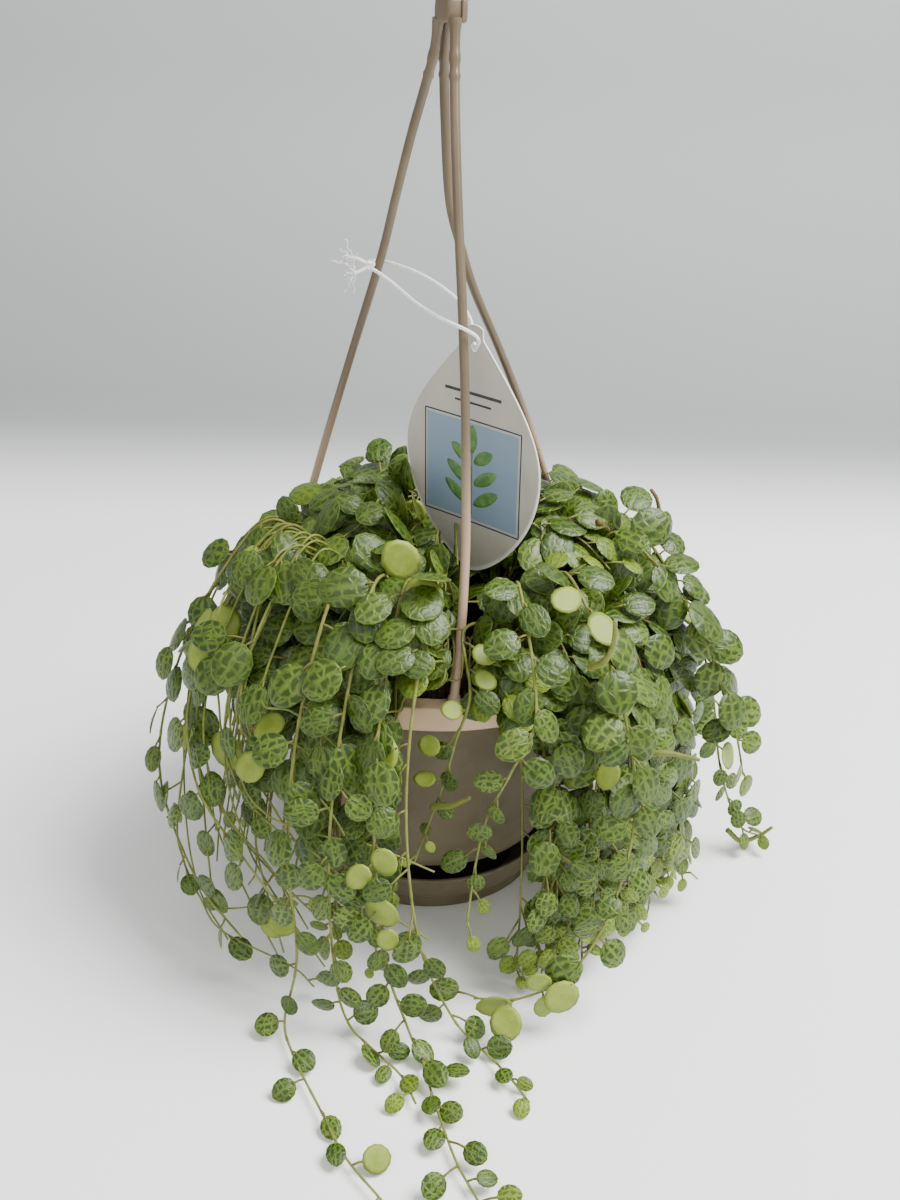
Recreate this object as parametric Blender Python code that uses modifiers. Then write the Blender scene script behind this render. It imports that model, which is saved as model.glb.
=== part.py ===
"""String of turtles (Peperomia prostrata) in a three-arm hanging pot with a clip-on saucer.

Metres, +Z up. The origin is the centre of the saucer's flat underside, on the surface that
the pot stands on. The front arm of the hanger is on the -Y side.
"""

import math

import bmesh
import bpy
import numpy as np
from mathutils import Matrix, Vector

# Clearances
SEAT_GAP = 0.0003  # between two pieces that rest on or in each other
LEAF_ROOM = 0.0021  # between a leaf's points and another vine's points

# Saucer
SAUCER_RADIUS = 0.0465
SAUCER_FOOT_RADIUS = 0.0420
SAUCER_HEIGHT = 0.0150
SAUCER_WALL = 0.0014
SAUCER_LEDGE_Z = 0.0060  # the step line low on the wall
SAUCER_LEDGE = 0.0012

# Pot
RIM_RADIUS = 0.0650
RIM_Z = 0.0960
LIP_HEIGHT = 0.0085
POT_WALL = 0.0015
POT_TOP_RADIUS = 0.0590  # of the body, under the rim
POT_BASE_RADIUS = 0.0450
POT_BASE_Z = 0.0185
POT_CORNER = 0.0050
FOOT_RADIUS = 0.0340
DRAIN_RADIUS = 0.0030
DRAIN_CIRCLE = 0.0180
DRAIN_COUNT = 4

# Soil
SOIL_DEPTH_BELOW_RIM = 0.0080

# Hanger
ARM_RADIUS = 0.0016
ARM_CIRCLE = 0.0612  # circle of the arms' holes in the rim
ARM_AZIMUTHS = {"front": 7.7, "left": -112.3, "right": 127.7}
ARM_PEG_DEPTH = 0.0060
COLLAR_RADIUS = 0.0024
COLLAR_LENGTH = 0.0030
HUB_BASE_Z = 0.2965
ARM_HEADROOM = 0.0010  # the arms' slanting ends stay this far under the hub
HUB_SIZE = (0.0080, 0.0092, 0.0070)  # along the hook's flat side, through it, and up
HUB_SHIFT = (-0.0004, 0.0002)  # of the hub's middle from the hook's own axis
HOOK_THICKNESS = 0.0068
HOOK_WIDTH = 0.0060
HOOK_INNER_RADIUS = 0.0110
HOOK_SHANK = 0.0120
HOOK_SWEEP = 200.0
HOOK_TURN = 32.0

# Each arm's own bend, from the hub down to the rim, in millimetres
ARM_BENDS = {
    "front": [(1.0, -4.4), (1.2, -7.5, 287), (1.7, -12, 275), (3.2, -20, 253), (4.8, -27, 234),
              (6.5, -33.5, 214), (8.1, -40.4, 191), (9.3, -46.7, 167), (10.0, -52.4, 143),
              (9.5, -57.7, 119)],
    "left": [(-4.2, 1.4), (-5.6, 3.2, 287), (-8.5, 4.6, 276), (-12.4, 7.3, 262), (-17, 10, 243),
             (-21.8, 12.7, 223), (-31.4, 16.4, 191), (-40.2, 19.2, 161), (-49.2, 21.6, 129),
             (-55.2, 23.0, 109)],
    "right": [(-1.6, 4.4), (-2.2, 7.0, 286), (-1.4, 10.0, 268), (0.8, 12.4, 243), (5.4, 14.5, 227),
              (10.3, 17.0, 213), (20.0, 20.8, 192), (30.3, 25.2, 168), (38.4, 29.2, 146),
              (45.4, 34.0, 122)],
}

# Tag and its string
TAG_WIDTH = 0.0573
TAG_HEIGHT = 0.0845
TAG_THICKNESS = 0.0006
TAG_HOLE_RADIUS = 0.0016
TAG_HOLE_DROP = 0.0070  # from the tag's point down to the hole
TAG_HOLE_PLACE = (0.0105, -0.0275, 0.2047)
TAG_YAW = 41.0
TAG_LEAN = -1.0
TAG_TILT = -3.0
STRING_RADIUS = 0.00055
KNOT_PLACE = (-0.0246, 0.0060, 0.2225)
KNOT_RADIUS = 0.0016

# Leaves and stems
STEM_RADIUS = 0.0008
LEAF_HALF_LENGTH = 0.0066
LEAF_HALF_WIDTH = 0.0058
LEAF_HALF_THICKNESS = 0.0011
ROOT_SETBACK = 0.05  # of a stem's stretch, from its point back to the leaf on it
LEAF_ROOT = 0.0004  # of the leaf lies past its stem's middle
STEM_STEP = 0.0170
MM = 0.001
TURN_STEPS = 36

SOIL_TOP = RIM_Z - SOIL_DEPTH_BELOW_RIM

# The mound that the stems run over, from its top outwards and down: radius, height
MOUND = np.array([(0.000, 0.148), (0.030, 0.146), (0.052, 0.137), (0.068, 0.122), (0.079, 0.102),
                  (0.087, 0.078), (0.092, 0.052), (0.096, 0.028), (0.099, 0.006)])
MOUND_CENTRE_X = 0.006

parts = bpy.data.collections.new("string_of_turtles_in_hanging_pot")
cutters = bpy.data.collections.new("cutters")


def clear_scene():
    for old in list(bpy.data.objects):
        bpy.data.objects.remove(old, do_unlink=True)
    for collection in (parts, cutters):
        bpy.context.scene.collection.children.link(collection)


def material(name, colour, roughness, metallic=0.0):
    made = bpy.data.materials.get(name)
    if made:
        return made
    made = bpy.data.materials.new(name)
    made.use_nodes = True
    shader = made.node_tree.nodes["Principled BSDF"]
    shader.inputs["Base Color"].default_value = (*colour, 1.0)
    shader.inputs["Roughness"].default_value = roughness
    shader.inputs["Metallic"].default_value = metallic
    return made


def add_object(name, data, finish, collection=parts):
    made = bpy.data.objects.new(name, data)
    collection.objects.link(made)
    if finish:
        data.materials.append(finish)
    return made


def make_cutter(cutter):
    cutter.hide_render = True
    cutter.display_type = "WIRE"
    return cutter


def boolean(target, tool, operation, with_self=False):
    modifier = target.modifiers.new(tool.name, "BOOLEAN")
    modifier.operation = operation
    modifier.solver = "EXACT"
    modifier.use_self = with_self
    modifier.object = tool


def turned(name, profile, finish, steps):
    """A solid of revolution: the profile's points are radius and height."""
    mesh = bpy.data.meshes.new(name)
    points = [(radius, 0.0, z) for radius, z in profile]
    mesh.from_pydata(points, [(i, i + 1) for i in range(len(points) - 1)], [])
    made = add_object(name, mesh, finish)
    screw = made.modifiers.new("turn", "SCREW")
    screw.steps = steps
    screw.render_steps = steps
    screw.use_merge_vertices = True
    screw.merge_threshold = 0.00001
    screw.use_smooth_shade = True
    return made


def smooth_path(points, step):
    """Points every step along a Catmull-Rom curve through the given points."""
    points = np.array(points, float)
    ends = np.vstack([2 * points[0] - points[1], points, 2 * points[-1] - points[-2]])
    t = np.linspace(0, 1, 24, endpoint=False)[:, None]
    fine = []
    for a, b, c, d in zip(ends, ends[1:], ends[2:], ends[3:]):
        fine.append(0.5 * (2 * b + (c - a) * t + (2 * a - 5 * b + 4 * c - d) * t**2
                           + (3 * b - a - 3 * c + d) * t**3))
    fine = np.vstack([*fine, points[-1:]])
    along = np.concatenate([[0], np.cumsum(np.linalg.norm(np.diff(fine, axis=0), axis=1))])
    wanted = np.linspace(0, along[-1], max(2, round(along[-1] / step) + 1))
    return np.stack([np.interp(wanted, along, fine[:, i]) for i in range(3)], axis=1)


def tube(name, path, radius, finish, resolution=0, collection=parts):
    """A round bar along the path, as a curve with filled caps."""
    curve = bpy.data.curves.new(name, "CURVE")
    curve.dimensions = "3D"
    curve.bevel_depth = radius
    curve.bevel_resolution = resolution
    curve.use_fill_caps = True
    spline = curve.splines.new("POLY")
    spline.points.add(len(path) - 1)
    for point, place in zip(spline.points, path):
        point.co = (*place, 1.0)
    return add_object(name, curve, finish, collection)


def as_mesh(curve_object):
    """The curve's solid as a mesh object of the same name, its caps welded on."""
    name = curve_object.name
    collection = curve_object.users_collection[0]
    bpy.context.view_layer.update()
    evaluated = curve_object.evaluated_get(bpy.context.evaluated_depsgraph_get())
    mesh = bpy.data.meshes.new_from_object(evaluated)
    matrix = curve_object.matrix_world.copy()
    bpy.data.objects.remove(curve_object, do_unlink=True)
    work = bmesh.new()
    work.from_mesh(mesh)
    bmesh.ops.remove_doubles(work, verts=work.verts, dist=0.000002)
    bmesh.ops.recalc_face_normals(work, faces=work.faces)
    work.to_mesh(mesh)
    work.free()
    made = bpy.data.objects.new(name, mesh)
    made.matrix_world = matrix
    collection.objects.link(made)
    return made


def flat_outline(name, outlines, thickness, finish, collection=parts):
    """A flat plate: the first outline is its edge, any others are holes in it."""
    curve = bpy.data.curves.new(name, "CURVE")
    curve.dimensions = "2D"
    curve.fill_mode = "BOTH"
    curve.extrude = thickness / 2
    for outline in outlines:
        spline = curve.splines.new("POLY")
        spline.points.add(len(outline) - 1)
        spline.use_cyclic_u = True
        for point, (x, y) in zip(spline.points, outline):
            point.co = (x, y, 0.0, 1.0)
    return add_object(name, curve, finish, collection)


def around(azimuth, radius, z, centre_x=0.0):
    """A place from its azimuth in degrees, 0 at the front and growing to the right."""
    angle = math.radians(azimuth)
    return (centre_x + radius * math.sin(angle), -radius * math.cos(angle), z)


# Pot, saucer and soil


def build_saucer():
    floor_top = SAUCER_WALL
    profile = [
        (0.0, floor_top),
        (SAUCER_FOOT_RADIUS - SAUCER_WALL, floor_top),
        (SAUCER_RADIUS - SAUCER_WALL, SAUCER_HEIGHT),
        (SAUCER_RADIUS, SAUCER_HEIGHT),
        (SAUCER_FOOT_RADIUS + SAUCER_LEDGE + 0.0008, SAUCER_LEDGE_Z),
        (SAUCER_FOOT_RADIUS + SAUCER_LEDGE * 0.3, SAUCER_LEDGE_Z - 0.0008),
        (SAUCER_FOOT_RADIUS, 0.0),
        (0.0, 0.0),
    ]
    turned("saucer", profile, material("taupe_plastic", (0.33, 0.27, 0.20), 0.5), TURN_STEPS)


def body_radius(z):
    """Outer radius of the pot's body at a height."""
    share = (z - POT_BASE_Z) / (RIM_Z - POT_BASE_Z)
    return POT_BASE_RADIUS + (POT_TOP_RADIUS - POT_BASE_RADIUS) * share


def build_pot():
    lip_inner = RIM_RADIUS - POT_WALL
    flange_under = RIM_Z - POT_WALL
    foot_z = SAUCER_WALL + SEAT_GAP
    floor_top = POT_BASE_Z + POT_WALL
    corner = [
        (body_radius(POT_BASE_Z + POT_CORNER), POT_BASE_Z + POT_CORNER),
        (POT_BASE_RADIUS - 0.0006, POT_BASE_Z + POT_CORNER * 0.4),
        (POT_BASE_RADIUS - POT_CORNER * 0.7, POT_BASE_Z),
    ]
    profile = [
        (0.0, floor_top),
        (POT_BASE_RADIUS - POT_CORNER, floor_top),
        (body_radius(floor_top + POT_CORNER) - POT_WALL, floor_top + POT_CORNER),
        (body_radius(RIM_Z) - POT_WALL, RIM_Z),
        (RIM_RADIUS, RIM_Z),
        (RIM_RADIUS, RIM_Z - LIP_HEIGHT),
        (lip_inner, RIM_Z - LIP_HEIGHT),
        (lip_inner, flange_under),
        (body_radius(flange_under), flange_under),
        *corner,
        (FOOT_RADIUS, POT_BASE_Z),
        (FOOT_RADIUS, foot_z),
        (FOOT_RADIUS - POT_WALL, foot_z),
        (FOOT_RADIUS - POT_WALL, POT_BASE_Z),
        (0.0, POT_BASE_Z),
    ]
    pot = turned("pot", profile, material("taupe_plastic", (0.33, 0.27, 0.20), 0.5), TURN_STEPS)
    holes = bmesh.new()
    for index in range(DRAIN_COUNT):
        place = around(45 + index * 360 / DRAIN_COUNT, DRAIN_CIRCLE, POT_BASE_Z + POT_WALL / 2)
        bmesh.ops.create_cone(holes, cap_ends=True, segments=12, radius1=DRAIN_RADIUS,
                              radius2=DRAIN_RADIUS, depth=POT_WALL * 4,
                              matrix=Matrix.Translation(place))
    for azimuth in ARM_AZIMUTHS.values():
        place = around(azimuth, ARM_CIRCLE, RIM_Z - POT_WALL / 2)
        bmesh.ops.create_cone(holes, cap_ends=True, segments=12, radius1=ARM_RADIUS + SEAT_GAP,
                              radius2=ARM_RADIUS + SEAT_GAP, depth=POT_WALL * 3,
                              matrix=Matrix.Translation(place))
    mesh = bpy.data.meshes.new("pot_holes")
    holes.to_mesh(mesh)
    holes.free()
    boolean(pot, make_cutter(add_object("pot_holes", mesh, None, cutters)), "DIFFERENCE")


def build_soil():
    base = POT_BASE_Z + POT_WALL + SEAT_GAP
    inset = POT_WALL + 2 * SEAT_GAP
    edge = base + POT_CORNER
    profile = [
        (0.0, SOIL_TOP),
        (body_radius(SOIL_TOP) - inset, SOIL_TOP),
        (body_radius(edge) - inset, edge),
        (POT_BASE_RADIUS - POT_CORNER - inset, base),
        (0.0, base),
    ]
    turned("soil", profile, material("potting_soil", (0.045, 0.032, 0.022), 0.95), 24)


# Hanger


def arm_path(side):
    """From under the hub down to the rim, as the bent bar lies."""
    azimuth = ARM_AZIMUTHS[side]
    top, *rest = ARM_BENDS[side]
    start = (top[0] * MM, top[1] * MM, HUB_BASE_Z - ARM_HEADROOM)
    bends = [(x * MM, y * MM, z * MM) for x, y, z in rest]
    collar_top = RIM_Z + SEAT_GAP + COLLAR_LENGTH
    return [start, *bends, around(azimuth, ARM_CIRCLE, collar_top)]


def build_arm(side):
    azimuth = ARM_AZIMUTHS[side]
    path = smooth_path(arm_path(side), 0.010)
    peg_end = np.array([around(azimuth, ARM_CIRCLE, RIM_Z - ARM_PEG_DEPTH)])
    finish = material("taupe_plastic", (0.33, 0.27, 0.20), 0.5)
    name = f"hanger_arm_{side}"
    arm = as_mesh(tube(name, np.vstack([path, peg_end]), ARM_RADIUS, finish, 1))
    collar = bmesh.new()
    middle = RIM_Z + SEAT_GAP + COLLAR_LENGTH / 2
    bmesh.ops.create_cone(collar, cap_ends=True, segments=10, radius1=COLLAR_RADIUS,
                          radius2=COLLAR_RADIUS * 0.85, depth=COLLAR_LENGTH,
                          matrix=Matrix.Translation(around(azimuth, ARM_CIRCLE, middle)))
    mesh = bpy.data.meshes.new(name + "_collar")
    collar.to_mesh(mesh)
    collar.free()
    boolean(arm, make_cutter(add_object(name + "_collar", mesh, None, cutters)), "UNION")


def hook_outline():
    """The J of the hook, flat: a shank that narrows upwards, then an arc of HOOK_SWEEP degrees."""
    middle_radius = HOOK_INNER_RADIUS + HOOK_WIDTH / 2
    angles = np.radians(np.linspace(0, HOOK_SWEEP, 16))
    centre = np.array([-middle_radius, HOOK_SHANK])
    widths = HOOK_WIDTH / 2 * np.linspace(1.0, 0.7, len(angles))
    ways = np.stack([np.cos(angles), np.sin(angles)], axis=1)
    outer = centre + ways * (middle_radius + widths)[:, None]
    inner = centre + ways * (middle_radius - widths)[:, None]
    foot = [(-HOOK_WIDTH * 0.75, 0.0), (HOOK_WIDTH * 0.75, 0.0)]
    return [tuple(p) for p in [*foot, *outer, *inner[::-1]]]


def build_hook():
    finish = material("taupe_plastic", (0.33, 0.27, 0.20), 0.5)
    hook = flat_outline("hanger_hook", [hook_outline()], HOOK_THICKNESS, finish)
    foot_z = HUB_BASE_Z + HUB_SIZE[2] * 0.6
    stand = Matrix.Rotation(math.radians(90), 4, "X")
    turn = Matrix.Rotation(math.radians(HOOK_TURN), 4, "Z")
    hook.matrix_world = Matrix.Translation((0, 0, foot_z)) @ turn @ stand
    hook = as_mesh(hook)
    hub = bmesh.new()
    middle = Matrix.Translation((*HUB_SHIFT, HUB_BASE_Z + HUB_SIZE[2] / 2))
    bmesh.ops.create_cube(hub, size=1.0, matrix=turn @ middle @ Matrix.Diagonal((*HUB_SIZE, 1.0)))
    mesh = bpy.data.meshes.new("hook_hub")
    hub.to_mesh(mesh)
    hub.free()
    boolean(hook, make_cutter(add_object("hook_hub", mesh, None, cutters)), "UNION")


# Tag and string


def tag_matrix():
    """The tag's own axes: X across it, Y up it, Z out of its printed face, origin at the hole."""
    yaw = Matrix.Rotation(math.radians(-TAG_YAW), 4, "Z")
    face = yaw @ Matrix.Rotation(math.radians(90 - TAG_TILT), 4, "X")
    return Matrix.Translation(TAG_HOLE_PLACE) @ face @ Matrix.Rotation(math.radians(TAG_LEAN), 4, "Z")


def tag_outline():
    """A drop: half width W/2 * sin(pi * t**1.09)**power, where t runs from the point down."""
    t = np.linspace(0.004, 0.998, 18) ** 1.1
    t = t / t[-1] * 0.998
    power = np.where(t < 0.53, 1.0, 0.65)
    half = TAG_WIDTH / 2 * np.sin(np.pi * t**1.09) ** power
    y = TAG_HOLE_DROP - t * TAG_HEIGHT
    right = list(zip(half, y))
    left = [(-x, height) for x, height in right[::-1]]
    return right[::-1] + left[::-1]


def build_tag():
    angles = np.linspace(0, 2 * math.pi, 12, endpoint=False)
    hole = [(TAG_HOLE_RADIUS * math.cos(a), TAG_HOLE_RADIUS * math.sin(a)) for a in angles]
    finish = material("tag_card", (0.62, 0.60, 0.55), 0.6)
    tag = flat_outline("tag", [tag_outline(), hole], TAG_THICKNESS, finish)
    tag.matrix_world = tag_matrix()
    as_mesh(tag).data.materials.append(finish)


# The string's loop from the knot, behind the arms, through the tag's hole and back in front
# of them, in millimetres
STRING_ROUTE = [(-25.2, 8.4, 222.6), (-25.6, 12.6, 222.5), (-23.6, 15.6, 222.3),
                (-20.0, 15.6, 222.1), (-14.0, 10.4, 221.6), (-7.0, 2.0, 220.6),
                (0.0, -9.0, 218.8), (5.6, -17.4, 216.0), (9.0, -21.8, 211.6),
                (10.2, -25.0, 206.5), (10.5, -27.6, 204.8), (11.0, -30.2, 205.2),
                (11.6, -33.4, 207.6), (10.6, -36.6, 210.2), (7.4, -37.3, 212.2),
                (3.4, -35.4, 213.4), (-2.0, -29.0, 214.4), (-9.0, -17.6, 216.0),
                (-16.0, -5.0, 218.6), (-21.4, 1.8, 220.8), (-24.2, 3.8, 221.9)]


def build_string():
    path = smooth_path(np.array(STRING_ROUTE) * MM, 0.0028)
    finish = material("white_cotton", (0.75, 0.74, 0.70), 0.9)
    as_mesh(tube("tag_string", path, STRING_RADIUS, finish, 2))
    knot = bmesh.new()
    bmesh.ops.create_icosphere(knot, subdivisions=2, radius=KNOT_RADIUS,
                               matrix=Matrix.Translation(KNOT_PLACE))
    mesh = bpy.data.meshes.new("string_knot")
    knot.to_mesh(mesh)
    knot.free()
    ball = add_object("string_knot", mesh, finish)
    start = Vector(KNOT_PLACE)
    for index, tip in enumerate([(-34.0, 5.0, 227.4), (-31.0, 4.0, 221.6)]):
        end = Vector(tip) * MM
        bend = start.lerp(end, 0.5) + Vector((0, 0, 0.0008))
        name = f"string_tail_{index}"
        tail = as_mesh(tube(name, [start, bend, end], STRING_RADIUS, None, 1, cutters))
        boolean(ball, make_cutter(tail), "UNION")


# Vines


def on_mound(azimuth, along, lift=0.0):
    """A place on the mound: along runs from 0 at the top to 1 at the floor, by arc length."""
    steps = np.linalg.norm(np.diff(MOUND, axis=0), axis=1)
    arc = np.concatenate([[0], np.cumsum(steps)]) / steps.sum()
    radius = np.interp(along, arc, MOUND[:, 0])
    z = np.interp(along, arc, MOUND[:, 1])
    slope = np.array([np.interp(along + 0.03, arc, MOUND[:, i]) - np.interp(along - 0.03, arc, MOUND[:, i])
                      for i in (0, 1)])
    out = np.array([-slope[1], slope[0]]) / np.linalg.norm(slope)
    return around(azimuth, radius + lift * out[0], z + lift * out[1], MOUND_CENTRE_X)


def rise(azimuth, radius, height, outward):
    """The stem's first stretch, straight up out of the soil and then leaning outwards."""
    base = SOIL_TOP + SEAT_GAP
    return [around(azimuth, radius, base), around(azimuth, radius, base + 0.006),
            around(azimuth, radius + outward * 0.4, (base + height) / 2),
            around(azimuth, radius + outward, height, MOUND_CENTRE_X)]


def mantle_route(azimuth, end, index):
    """A stem that climbs out of the pot's edge, crosses the rim and hangs down the mound."""
    sway = 2.2 * math.sin(index * 2.4)
    steps = np.arange(0.44, end, 0.09)
    path = rise(azimuth, 0.047, 0.118, 0.010)
    path += [on_mound(azimuth + sway * math.sin((s - 0.44) * 7), s) for s in steps]
    return path + [on_mound(azimuth + sway * 0.5, end)]


def crown_route(azimuth, radius, reach):
    """A short stem that stands in the middle of the pot and arches over the mound's top."""
    return rise(azimuth, radius, 0.128, 0.004) + [on_mound(azimuth + 6 * s, s) for s in
                                                  np.arange(0.02 + radius * 6, reach, 0.06)]


def free_route(azimuth, radius, points):
    """A stem from the soil through the points given by hand, in millimetres."""
    return rise(azimuth, radius, 0.120, 0.006) + [(x * MM, y * MM, z * MM) for x, y, z in points]


MANTLE_COUNT = 21
MANTLE_FIRST = 16.27  # puts every arm of the hanger midway between two stems
MANTLE_ENDS = [0.50, 0.93, 0.80, 0.97, 0.86, 0.95, 0.75, 0.97, 0.88, 0.96, 0.80,
               0.97, 0.86, 0.94, 0.97, 0.82, 0.97, 0.90, 0.96, 0.80, 0.50]

# Short stems in the middle of the pot: azimuth, radius where they leave the soil, reach
CROWN_STEMS = [(52, 0.024, 0.34), (84, 0.026, 0.34), (110, 0.014, 0.34), (150, 0.024, 0.34),
               (190, 0.018, 0.36), (225, 0.026, 0.34), (268, 0.014, 0.34), (300, 0.024, 0.32),
               (330, 0.026, 0.28)]

# Stems that hang or trail on their own: azimuth and radius where they leave the soil, then
# their points in millimetres
FREE_STEMS = {
    "runner_left": (-27, 0.038, [(-28, -62, 139), (-38, -88, 106), (-41, -101, 66), (-38, -107, 30),
                                 (-42, -109, 6), (-38, -121, 3.2), (-27, -143, 3.0), (-18, -160, 3.0),
                                 (-7, -174, 3.0), (-1, -183, 3.0)]),
    "runner_middle": (-17, 0.033, [(-17, -64, 140), (-25, -93, 106), (-28, -106, 66), (-26, -109, 26),
                                   (-22, -110, 7), (-14, -117, 3.2), (-4, -128, 3.0), (1, -139, 3.0)]),
    "runner_right": (-9, 0.036, [(-8, -66, 140), (-14, -95, 106), (-14, -106, 68), (-10, -109, 30),
                                 (-3, -112, 8), (3, -124, 3.2), (6, -136, 3.0), (13, -159, 3.0),
                                 (19, -172, 3.0), (24, -183, 3.0)]),
    "runner_short": (1, 0.032, [(2, -64, 141), (-4, -92, 112), (-5, -102, 76), (0, -106, 36),
                                (11, -108, 9), (20, -115, 3.2), (28, -125, 3.0), (35, -137, 3.0)]),
    "bundle_upper": (-60, 0.040, [(-48, -28, 143), (-68, -36, 118), (-80, -50, 88), (-75, -68, 66),
                                  (-58, -88, 54), (-42, -100, 40)]),
    "bundle_lower": (-77, 0.040, [(-56, -16, 140), (-76, -22, 117), (-90, -32, 84), (-92, -48, 56),
                                  (-76, -74, 34), (-58, -92, 24)]),
    "shoot_on_pot": (10, 0.047, [(10, -63, 122), (13, -76, 108), (9, -78, 92), (6, -76, 76),
                                 (2, -76, 62), (-3, -82, 48)]),
    "strand_on_pot": (25, 0.040, [(27, -60, 138), (33, -86, 108), (26, -92, 90), (20, -88, 72),
                                  (17, -86, 52), (15, -92, 34)]),
    "skirt_front": (42, 0.040, [(43, -50, 138), (58, -74, 112), (66, -84, 78), (62, -92, 46),
                                (50, -101, 24), (34, -104, 14), (18, -103, 12)]),
    "sprig_right_low": (94, 0.040, [(66, 4, 137), (88, 6, 112), (104, 4, 76), (112, 0, 38),
                                    (122, -2, 14), (134, 2, 6)]),
    "sprig_right_high": (77, 0.040, [(62, -16, 140), (84, -22, 120), (99, -27, 96), (108, -30, 72),
                                     (113, -30, 54)]),
    "strand_back": (180, 0.040, [(4, 62, 140), (2, 88, 110), (-3, 104, 66), (-4, 110, 24),
                                 (4, 114, 6)]),
}


def all_routes():
    """Every stem by name, as points along its smooth curve."""
    routes = {}
    for index, end in enumerate(MANTLE_ENDS):
        azimuth = MANTLE_FIRST + index * 360 / MANTLE_COUNT
        routes[f"vine_mantle_{index + 1:02d}"] = mantle_route(azimuth, end, index)
    for index, stem in enumerate(CROWN_STEMS):
        routes[f"vine_crown_{index + 1:02d}"] = crown_route(*stem)
    for name, (azimuth, radius, points) in FREE_STEMS.items():
        routes[f"vine_{name}"] = free_route(azimuth, radius, points)
    return {name: smooth_path(points, STEM_STEP) for name, points in routes.items()}


def leaf_points(centre, along, across):
    """Nineteen points over a leaf: its middle and two rings."""
    ring = np.radians(np.arange(0, 360, 60))
    shape = [np.zeros((1, 2))]
    for share in (0.55, 1.0):
        shape.append(share * np.stack([np.cos(ring), np.sin(ring)], axis=1))
    shape = np.vstack([*shape, 0.87 * np.stack([np.cos(ring + 0.52), np.sin(ring + 0.52)], axis=1)])
    return centre + shape[:, :1] * along * LEAF_HALF_LENGTH + shape[:, 1:] * across * LEAF_HALF_WIDTH


def unit(vector):
    return vector / np.linalg.norm(vector)


def leaf_axes(path, index, side, lift):
    """A leaf's length and width directions: it stands to one side of the stem and faces out."""
    here = path[index]
    run = unit(path[min(index + 1, len(path) - 1)] - path[index - 1])
    out = unit(np.array([here[0] - MOUND_CENTRE_X, here[1], max(here[2] - 0.04, 0.02) * 0.9]))
    if here[2] < 0.012:
        out = np.array([0.0, 0.0, 1.0])
    sideways = unit(np.cross(run, out))
    along = unit(side * sideways + 0.35 * run + lift * out)
    across = unit(np.cross(out, along))
    return along, across


def holder_points():
    """Points on the arms, the tag, the string and the rim, which the leaves keep clear of."""
    found = [smooth_path(arm_path(side), 0.002) for side in ARM_AZIMUTHS]
    found.append(np.array(STRING_ROUTE) * MM)
    matrix = np.array(tag_matrix())
    outline = np.array(tag_outline())
    for share in (0.25, 0.5, 0.75, 1.0):
        flat = np.column_stack([outline * share, np.zeros(len(outline)), np.ones(len(outline))])
        found.append((flat @ matrix.T)[:, :3])
    for radius in (POT_TOP_RADIUS, RIM_RADIUS):
        found.append(np.array([around(a, radius, RIM_Z) for a in range(0, 360, 2)]))
    return np.vstack(found)


def place_leaves(routes):
    """Leaves of each vine as centre, length and width directions, clear of all other pieces."""
    fine = {name: smooth_path(path, 0.0015) for name, path in routes.items()}
    holder = holder_points()
    placed = {name: [] for name in routes}
    crowd_points = []
    crowd_owner = []
    for owner, name in enumerate(routes):
        path = routes[name]
        others = np.vstack([holder] + [fine[other] for other in routes if other != name])
        for index in range(2, len(path)):
            for side, lift in ((1, 0.25), (-1, 0.25), (1, 0.9), (-1, 0.9)):
                side = side if index % 2 else -side
                along, across = leaf_axes(path, index, side, lift)
                root = path[index] + (path[index - 1] - path[index]) * ROOT_SETBACK
                centre = root + along * (LEAF_HALF_LENGTH - LEAF_ROOT)
                points = leaf_points(centre, along, across)
                if points[:, 2].min() < 0.0022:
                    continue
                if nearest(points[1:], others) < LEAF_ROOM + STEM_RADIUS:
                    continue
                foreign = [p for p, o in zip(crowd_points, crowd_owner) if o != owner]
                if foreign and nearest(points, np.vstack(foreign)) < LEAF_ROOM + 0.0012:
                    continue
                own = [p for p, o in zip(crowd_points, crowd_owner) if o == owner]
                if own and nearest(points, np.vstack(own)) < LEAF_ROOM:
                    continue
                crowd_points.append(points)
                crowd_owner.append(owner)
                placed[name].append((centre, along, across))
                break
    return placed


def nearest(points, others):
    """The smallest distance between two sets of points."""
    low = points.min(axis=0) - 0.005
    high = points.max(axis=0) + 0.005
    close = others[((others > low) & (others < high)).all(axis=1)]
    if not len(close):
        return 1.0
    return np.linalg.norm(points[:, None] - close[None], axis=2).min()


def build_vine(name, path, leaves):
    finish = material("leaf_green", (0.10, 0.22, 0.04), 0.4)
    stem = as_mesh(tube(name, path, STEM_RADIUS, finish))
    if not leaves:
        return
    blades = bmesh.new()
    size = Matrix.Diagonal((LEAF_HALF_LENGTH, LEAF_HALF_WIDTH, LEAF_HALF_THICKNESS, 1))
    for centre, along, across in leaves:
        normal = np.cross(along, across)
        turn = Matrix([Vector(along), Vector(across), Vector(normal)]).transposed().to_4x4()
        bmesh.ops.create_uvsphere(blades, u_segments=6, v_segments=2, radius=1,
                                  matrix=Matrix.Translation(centre) @ turn @ size)
    mesh = bpy.data.meshes.new(name + "_leaves")
    blades.to_mesh(mesh)
    blades.free()
    tool = make_cutter(add_object(name + "_leaves", mesh, None, cutters))
    boolean(stem, tool, "UNION", with_self=True)


def main():
    clear_scene()
    build_saucer()
    build_pot()
    build_soil()
    for side in ARM_AZIMUTHS:
        build_arm(side)
    build_hook()
    build_tag()
    build_string()
    routes = all_routes()
    leaves = place_leaves(routes)
    for name, path in routes.items():
        build_vine(name, path, leaves[name])
    print(sum(len(found) for found in leaves.values()), "leaves on", len(routes), "vines")


main()
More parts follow.
